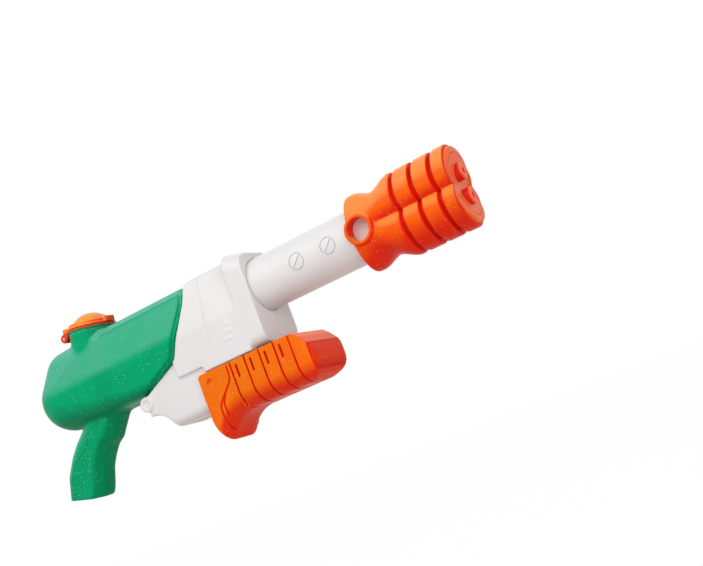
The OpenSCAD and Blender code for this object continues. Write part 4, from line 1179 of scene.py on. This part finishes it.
class SQUIRTER_OT_pump(bpy.types.Operator):
    """Model the pump grip with its grooves, slots and heel"""
    bl_idname = "squirter.pump"
    bl_label = "Pump grip"

    nose_steps = ((0.018, 0.0), (0.006, 0.0002), (0.003, 0.0008), (0.0012, 0.0022), (0.0, 0.0045))
    nose_cuts = (
        (0.3110, 0.0370, 14, 16), (0.3195, 0.0290, 14, 12), (0.3245, 0.0235, 12, 7),
        (0.3272, 0.0170, 9, 2.4), (0.3275, 0.0020, 9, -3), (0.3235, -0.0060, 7, -7),
        (0.3170, -0.0105, 4, -8))
    corner_r = 0.004
    lip_x = 0.3252
    lip_w = 0.0015
    lip_deep = 0.0012
    past = 0.001
    front_wall = 0.003
    heel_up = 0.022
    heel_bend = 1.5
    heel_wall = 1.5
    wave_r = 0.0012
    wave_out = 0.0001
    slot_r = 0.0014
    slot_on = 0.0065
    slot_z = (0.017, 0.006)
    slot_y = (-0.0020, 0.002)
    dimple_r = 0.006
    dimple_on = 0.013
    dimple_out = 0.0044
    dimple_down = 0.011
    keel_x = (0.012, 0.044)
    keel_web = (0.003, -0.005, 0.003)
    keel_bar = (0.007, 0.0019, 0.0042)
    foot_l = 0.004
    foot_half = 0.0285
    foot_on = 0.001
    foot_top = -0.0015
    post_r = 0.0044
    post_near = 0.008
    post_far = 0.0045
    hole_r = 0.0037
    hole_deep = 0.005
    sunk_on = 0.006
    sunk_down = 0.0006
    sunk_least = 0.0005
    sunk_most = 0.0023
    plain_l = 0.020
    plain_h = 0.018
    lip_near = 0.0009
    lip_shade = 0.8
    clear = 0.01
    voxel = 0.0008
    beyond = 0.06
    waves = (
        ((0.2315, 0.0400), (0.2314, 0.0300), (0.2308, 0.0205), (0.2195, 0.0100), (0.2092, 0.0010),
         (0.2094, -0.0100), (0.2085, -0.0190), (0.2070, -0.0265)),
        ((0.2190, 0.0086), (0.2146, 0.0020), (0.2146, -0.0060), (0.2135, -0.0130)))
    screw_places = ((0.203, -0.022, 0.030), (0.281, -0.0072, 0.018), (0.316, -0.004, 0.018))

    def section(self, bm, x, half_w, low, top, r):
        """Outline with a round underside at one place along the pump."""
        for side in (-1, 1):
            hoop(bm, (x, side * (half_w - r), low + r), r, (1, 0, 0), 96)
            bm.verts.new((x, side * half_w, top))

    def outside(self, size, inset=0.0):
        """Long body with a rounded rear corner and a blunt nose that slopes down."""
        def fill(bm):
            places = [
                (size.x0 + self.corner_r * back, 0.0, self.corner_r * down) for down, back in quarter(5)]
            places += [(size.x1 - back, draw, draw) for back, draw in self.nose_steps]
            for x, draw, down in places:
                drawn = draw + inset
                self.section(
                    bm, x, size.half_w - drawn, size.low_z + drawn, size.top_z - down, size.round_r - drawn)

        bm = convex(fill)
        for x, z, ahead, up in self.nose_cuts:
            out = Vector((ahead, 0, up)).normalized()
            trim(bm, Vector((x, 0, z)) - inset * out, out)
        return bm

    def hollow(self, size):
        """Hollow of the body, open at the top and the rear."""
        def fill(bm):
            for x in (size.x0 - self.past, size.x1 - size.nose_l - self.front_wall):
                self.section(
                    bm, x, size.half_w - size.wall, size.low_z + size.wall, size.top_z + self.past,
                    size.round_r - size.wall)

        return convex(fill)

    def low_at(self, size, x):
        """Height of the underside at one place along the pump."""
        scoop_x = size.x0 + size.heel_l
        if x >= scoop_x:
            return size.low_z
        scoop = size.low_z - size.scoop_r + math.sqrt(max(0.0, size.scoop_r ** 2 - (scoop_x - x) ** 2))
        back = max(0.0, size.x0 + size.heel_r - x)
        corner = size.heel_z + size.heel_r - math.sqrt(max(0.0, size.heel_r ** 2 - back ** 2))
        return max(scoop, corner)

    def depth(self, size, co):
        """Depth of a point below the pump's outer skin."""
        r = size.round_r
        low = self.low_at(size, co.x)
        if co.z > low + r:
            return size.half_w - abs(co.y)
        if abs(co.y) < size.half_w - r:
            return co.z - low
        return r - math.hypot(abs(co.y) - size.half_w + r, low + r - co.z)

    def heel(self, size, inset, steps):
        """Solids of the hooked heel, one after another, along the curve of the scoop."""
        places = [size.x0 + size.heel_l * (k / steps) ** self.heel_bend for k in range(steps + 1)]

        def fill(bm, pair):
            for x in pair:
                low = self.low_at(size, x) + self.heel_wall * inset
                back = self.past if inset and x == size.x0 else 0.0
                self.section(
                    bm, x - back, size.half_w - inset, low, size.low_z + self.heel_up, size.round_r - inset)

        return [convex(lambda bm, pair=pair: fill(bm, pair)) for pair in zip(places, places[1:])]

    def ring_cutter(self, size, x, wide, deep):
        """Flat ring that cuts one groove round the sides and the underside."""
        ring = new_object("ring", block(
            (x - wide / 2, -self.beyond, size.low_z - self.clear),
            (x + wide / 2, self.beyond, size.top_z + self.clear)))
        carve(ring, self.outside(size, deep))
        return taken(ring)

    def wave(self, size, side, line):
        """Waving groove down the pump's side."""
        path = []
        for point in curve_through([Vector((x, 0, z)) for x, z in line]):
            drop = max(0.0, self.low_at(size, point.x) + size.round_r - point.z)
            bulge = math.sqrt(size.round_r ** 2 - min(drop, size.round_r) ** 2)
            half = size.half_w - size.round_r + bulge
            path.append(Vector((point.x, side * (half + self.wave_out), point.z)))
        return tube_along(path, self.wave_r)

    def slot(self, size, side, x):
        """Short upright slot between two grooves."""
        def fill(bm):
            for down in self.slot_z:
                for out in self.slot_y:
                    hoop(bm, (x, side * (size.half_w + out), size.top_z - down), self.slot_r, (0, 1, 0), 32)

        return convex(fill)

    def dimple(self, size, side):
        """Shallow round hollow near the rear top corner."""
        bm = bmesh.new()
        out = side * (size.half_w + self.dimple_out)
        ball(bm, (size.x0 + self.dimple_on, out, size.top_z - self.dimple_down), self.dimple_r, 48)
        return bm

    def marks(self, size, pump):
        """Grooves, slots, dimples and the double waving line."""
        places = [size.band_x + k * size.pitch for k in range(size.bands)]
        grooves = [self.ring_cutter(size, x, size.groove_w, size.groove_deep) for x in places]
        grooves.append(self.ring_cutter(size, self.lip_x, self.lip_w, self.lip_deep))
        carve(pump, taken(together("grooves", grooves)))
        slots = [self.slot(size, side, x + self.slot_on) for x in places[:-1] for side in (-1, 1)]
        slots += [self.dimple(size, side) for side in (-1, 1)]
        carve(pump, taken(together("slots", slots)))
        for line in self.waves:
            for side in (-1, 1):
                carve(pump, self.wave(size, side, line))

    def keel(self, size, pump):
        """Keel that runs in the rail's slot, on its two feet."""
        x0, x1 = (size.x0 + x for x in self.keel_x)
        foot = (self.foot_half, size.low_z + self.foot_on, self.foot_top)
        bars = [(x, x + self.foot_l, *foot) for x in (x0, x1 - self.foot_l)]
        bars += [(x0, x1, *self.keel_web), (x0, x1, *self.keel_bar)]
        for near, far, half, low, high in bars:
            carve(pump, block((near, -half, low), (far, half, high)), "UNION")

    def mark_sunk(self, size, pump):
        """Mark the vertices that lie deep in a groove or a slot, and along the lip line, where red is
        painted as shade.
        """
        layer = pump.data.attributes.new("sunk", "FLOAT", "POINT")
        for v in pump.data.vertices:
            deep = self.depth(size, v.co)
            along = size.x0 + self.sunk_on < v.co.x < size.x1 - size.nose_l
            side = along and v.co.z < size.top_z - self.sunk_down
            dimple = v.co.x < size.x0 + self.plain_l and v.co.z > size.top_z - self.plain_h
            if side and not dimple and deep < self.sunk_most:
                share = (deep - self.sunk_least) / self.sunk_least
                layer.data[v.index].value = min(1.0, max(0.0, share))
            elif abs(v.co.x - self.lip_x) < self.lip_near:
                layer.data[v.index].value = self.lip_shade

    def execute(self, context):
        size = context.scene.squirter_pump
        pump = together("pump_shell", [self.outside(size)] + self.heel(size, 0.0, 24))
        soften(pump, self.voxel, rounds=2)
        carve(pump, self.hollow(size))
        for part in self.heel(size, size.wall, 8):
            carve(pump, part)
        self.keel(size, pump)
        for x, z, reach in self.screw_places:
            near, far = (x, self.post_near - reach, z), (x, reach - self.post_far, z)
            carve(pump, rod(near, far, self.post_r, 48), "UNION")
        soften(pump, self.voxel, rounds=4)
        self.marks(size, pump)
        for x, z, reach in self.screw_places:
            carve(pump, rod((x, reach - self.hole_deep, z), (x, self.beyond, z), self.hole_r, 48))
        self.mark_sunk(size, pump)
        finish_piece(
            pump, "orange_pump", "pump", "orange", "pump_grip_right", "pump_grip_left", sharp=40)
        return {"FINISHED"}


class SQUIRTER_OT_inner_pieces(bpy.types.Operator):
    """Finish the pieces that keep their shape"""
    bl_idname = "squirter.inner_pieces"
    bl_label = "Inner pieces"

    kept = {
        "green_moulding": ("fill_neck",),
        "natural_moulding": (
            "spindle", "pump_cylinder", "cylinder_gland", "valve_block", "suction_tube", "suction_strainer",
            "outlet_hose", "piston_rod", "piston_head", "head_hub"),
        "black_rubber": (
            "spindle_seals", "rod_seal", "inlet_valve", "outlet_valve", "suction_grommet", "piston_seal",
            "cap_seal"),
        "bright_steel": ("cap_hinge_pin", "housing_screws", "spindle_clip", "hose_clips", "pump_screws"),
    }

    def execute(self, context):
        for finish, nodes in self.kept.items():
            for node in nodes:
                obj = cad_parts[node]
                for slot in obj.material_slots:
                    slot.material = bpy.data.materials[finish]
        return {"FINISHED"}


class SQUIRTER_OT_stage(bpy.types.Operator):
    """Set the floor, the lamps, the sky and the camera"""
    bl_idname = "squirter.stage"
    bl_label = "Stage"

    lamps = (
        ("key", (0.00, -1.15, 1.05), 1.5, 13.4),
        ("fill", (1.50, -0.95, 0.30), 1.4, 9.0),
        ("back", (0.10, 1.10, 0.90), 1.2, 3.0),
    )
    aim = Vector((0.25, 0, 0.06))
    floor_half = 12
    floor_rough = 0.9
    bounce = (0.76, 0.66, 0.64)
    pale = (0.85, 0.85, 0.85)
    whiteness = 0.97
    sky_light = 0.42

    def floor(self, stage):
        """Pale floor, white to the camera but for the shadow."""
        bm = bmesh.new()
        bmesh.ops.create_grid(
            bm, x_segments=2, y_segments=2, size=self.floor_half,
            matrix=Matrix.Translation((0, 0, stage.floor_z)))
        floor = new_object("floor", bm)
        w, shader = wired_material("pale_floor")
        shader.inputs["Roughness"].default_value = self.floor_rough
        seen = w.seen()
        w.link(w.blend(seen, self.bounce, self.pale), shader.inputs["Base Color"])
        white = w.node("ShaderNodeEmission", Color=(1, 1, 1, 1), Strength=1.0)
        w.mix(w.calc("MULTIPLY", seen, self.whiteness), shader, white, w.tree.nodes["Material Output"])
        floor.data.materials.append(bpy.data.materials["pale_floor"])

    def sky(self, scene):
        world = bpy.data.worlds.new("studio")
        world.use_nodes = True
        scene.world = world
        w = Wiring(world.node_tree)
        w.tree.nodes.clear()
        seen = w.seen()
        soft = w.node("ShaderNodeBackground", Color=(1, 1, 1, 1), Strength=self.sky_light)
        white = w.node("ShaderNodeBackground", Color=(1, 1, 1, 1), Strength=1.0)
        w.mix(seen, soft, white, w.node("ShaderNodeOutputWorld"))

    def camera(self, scene, stage):
        turn, rise, roll = (math.radians(a) for a in (stage.turn, stage.rise, stage.roll))
        back = Vector((math.sin(turn) * math.cos(rise), -math.cos(turn) * math.cos(rise), math.sin(rise)))
        level = (-back).cross(Vector((0, 0, 1))).normalized()
        upright = level.cross(-back)
        right = math.cos(roll) * level + math.sin(roll) * upright
        up = -math.sin(roll) * level + math.cos(roll) * upright
        data = bpy.data.cameras.new("camera")
        data.sensor_fit = "HORIZONTAL"
        data.sensor_width = 36
        data.lens = stage.lens
        data.clip_start, data.clip_end = 0.01, 100
        camera = bpy.data.objects.new("camera", data)
        place = Matrix((right, up, back)).transposed().to_4x4()
        place.translation = Vector(stage.target) + back * stage.distance
        camera.matrix_world = place
        scene.collection.objects.link(camera)
        scene.camera = camera

    def execute(self, context):
        scene = context.scene
        stage = scene.squirter_stage
        scene.view_settings.view_transform = "Standard"
        self.floor(stage)
        self.sky(scene)
        for name, place, size, power in self.lamps:
            data = bpy.data.lights.new(name, "AREA")
            data.shape = "DISK"
            data.size = size
            data.energy = power
            lamp = bpy.data.objects.new(name, data)
            turn = (self.aim - Vector(place)).to_track_quat("-Z", "Y").to_matrix().to_4x4()
            lamp.matrix_world = Matrix.Translation(place) @ turn
            scene.collection.objects.link(lamp)
        self.camera(scene, stage)
        return {"FINISHED"}


operators = (
    SQUIRTER_OT_finishes, SQUIRTER_OT_tank, SQUIRTER_OT_filler, SQUIRTER_OT_housing, SQUIRTER_OT_barrel,
    SQUIRTER_OT_collar, SQUIRTER_OT_head, SQUIRTER_OT_pump, SQUIRTER_OT_inner_pieces, SQUIRTER_OT_stage)

settings = {
    "squirter_tank": SquirterTank, "squirter_nozzle": SquirterNozzle, "squirter_pump": SquirterPump,
    "squirter_finish": SquirterFinish, "squirter_stage": SquirterStage}


class SQUIRTER_PT_panel(bpy.types.Panel):
    """Sizes, colours and steps of the squirter"""
    bl_idname = "SQUIRTER_PT_panel"
    bl_label = "Pump Water Squirter"
    bl_space_type = "VIEW_3D"
    bl_region_type = "UI"
    bl_category = "Squirter"

    def draw(self, context):
        layout = self.layout
        for name, kind in settings.items():
            box = layout.box()
            box.label(text=kind.__doc__)
            for key in kind.__annotations__:
                box.prop(getattr(context.scene, name), key)
        for operator in operators:
            layout.operator(operator.bl_idname)


def register():
    for kind in (*settings.values(), *operators, SQUIRTER_PT_panel):
        bpy.utils.register_class(kind)
    for name, kind in settings.items():
        setattr(bpy.types.Scene, name, PointerProperty(type=kind))


def unregister():
    for name in settings:
        delattr(bpy.types.Scene, name)
    for kind in reversed((*settings.values(), *operators, SQUIRTER_PT_panel)):
        bpy.utils.unregister_class(kind)


def main():
    register()
    for operator in operators:
        group, name = operator.bl_idname.split(".")
        getattr(getattr(bpy.ops, group), name)()


if __name__ == "__main__":
    main()
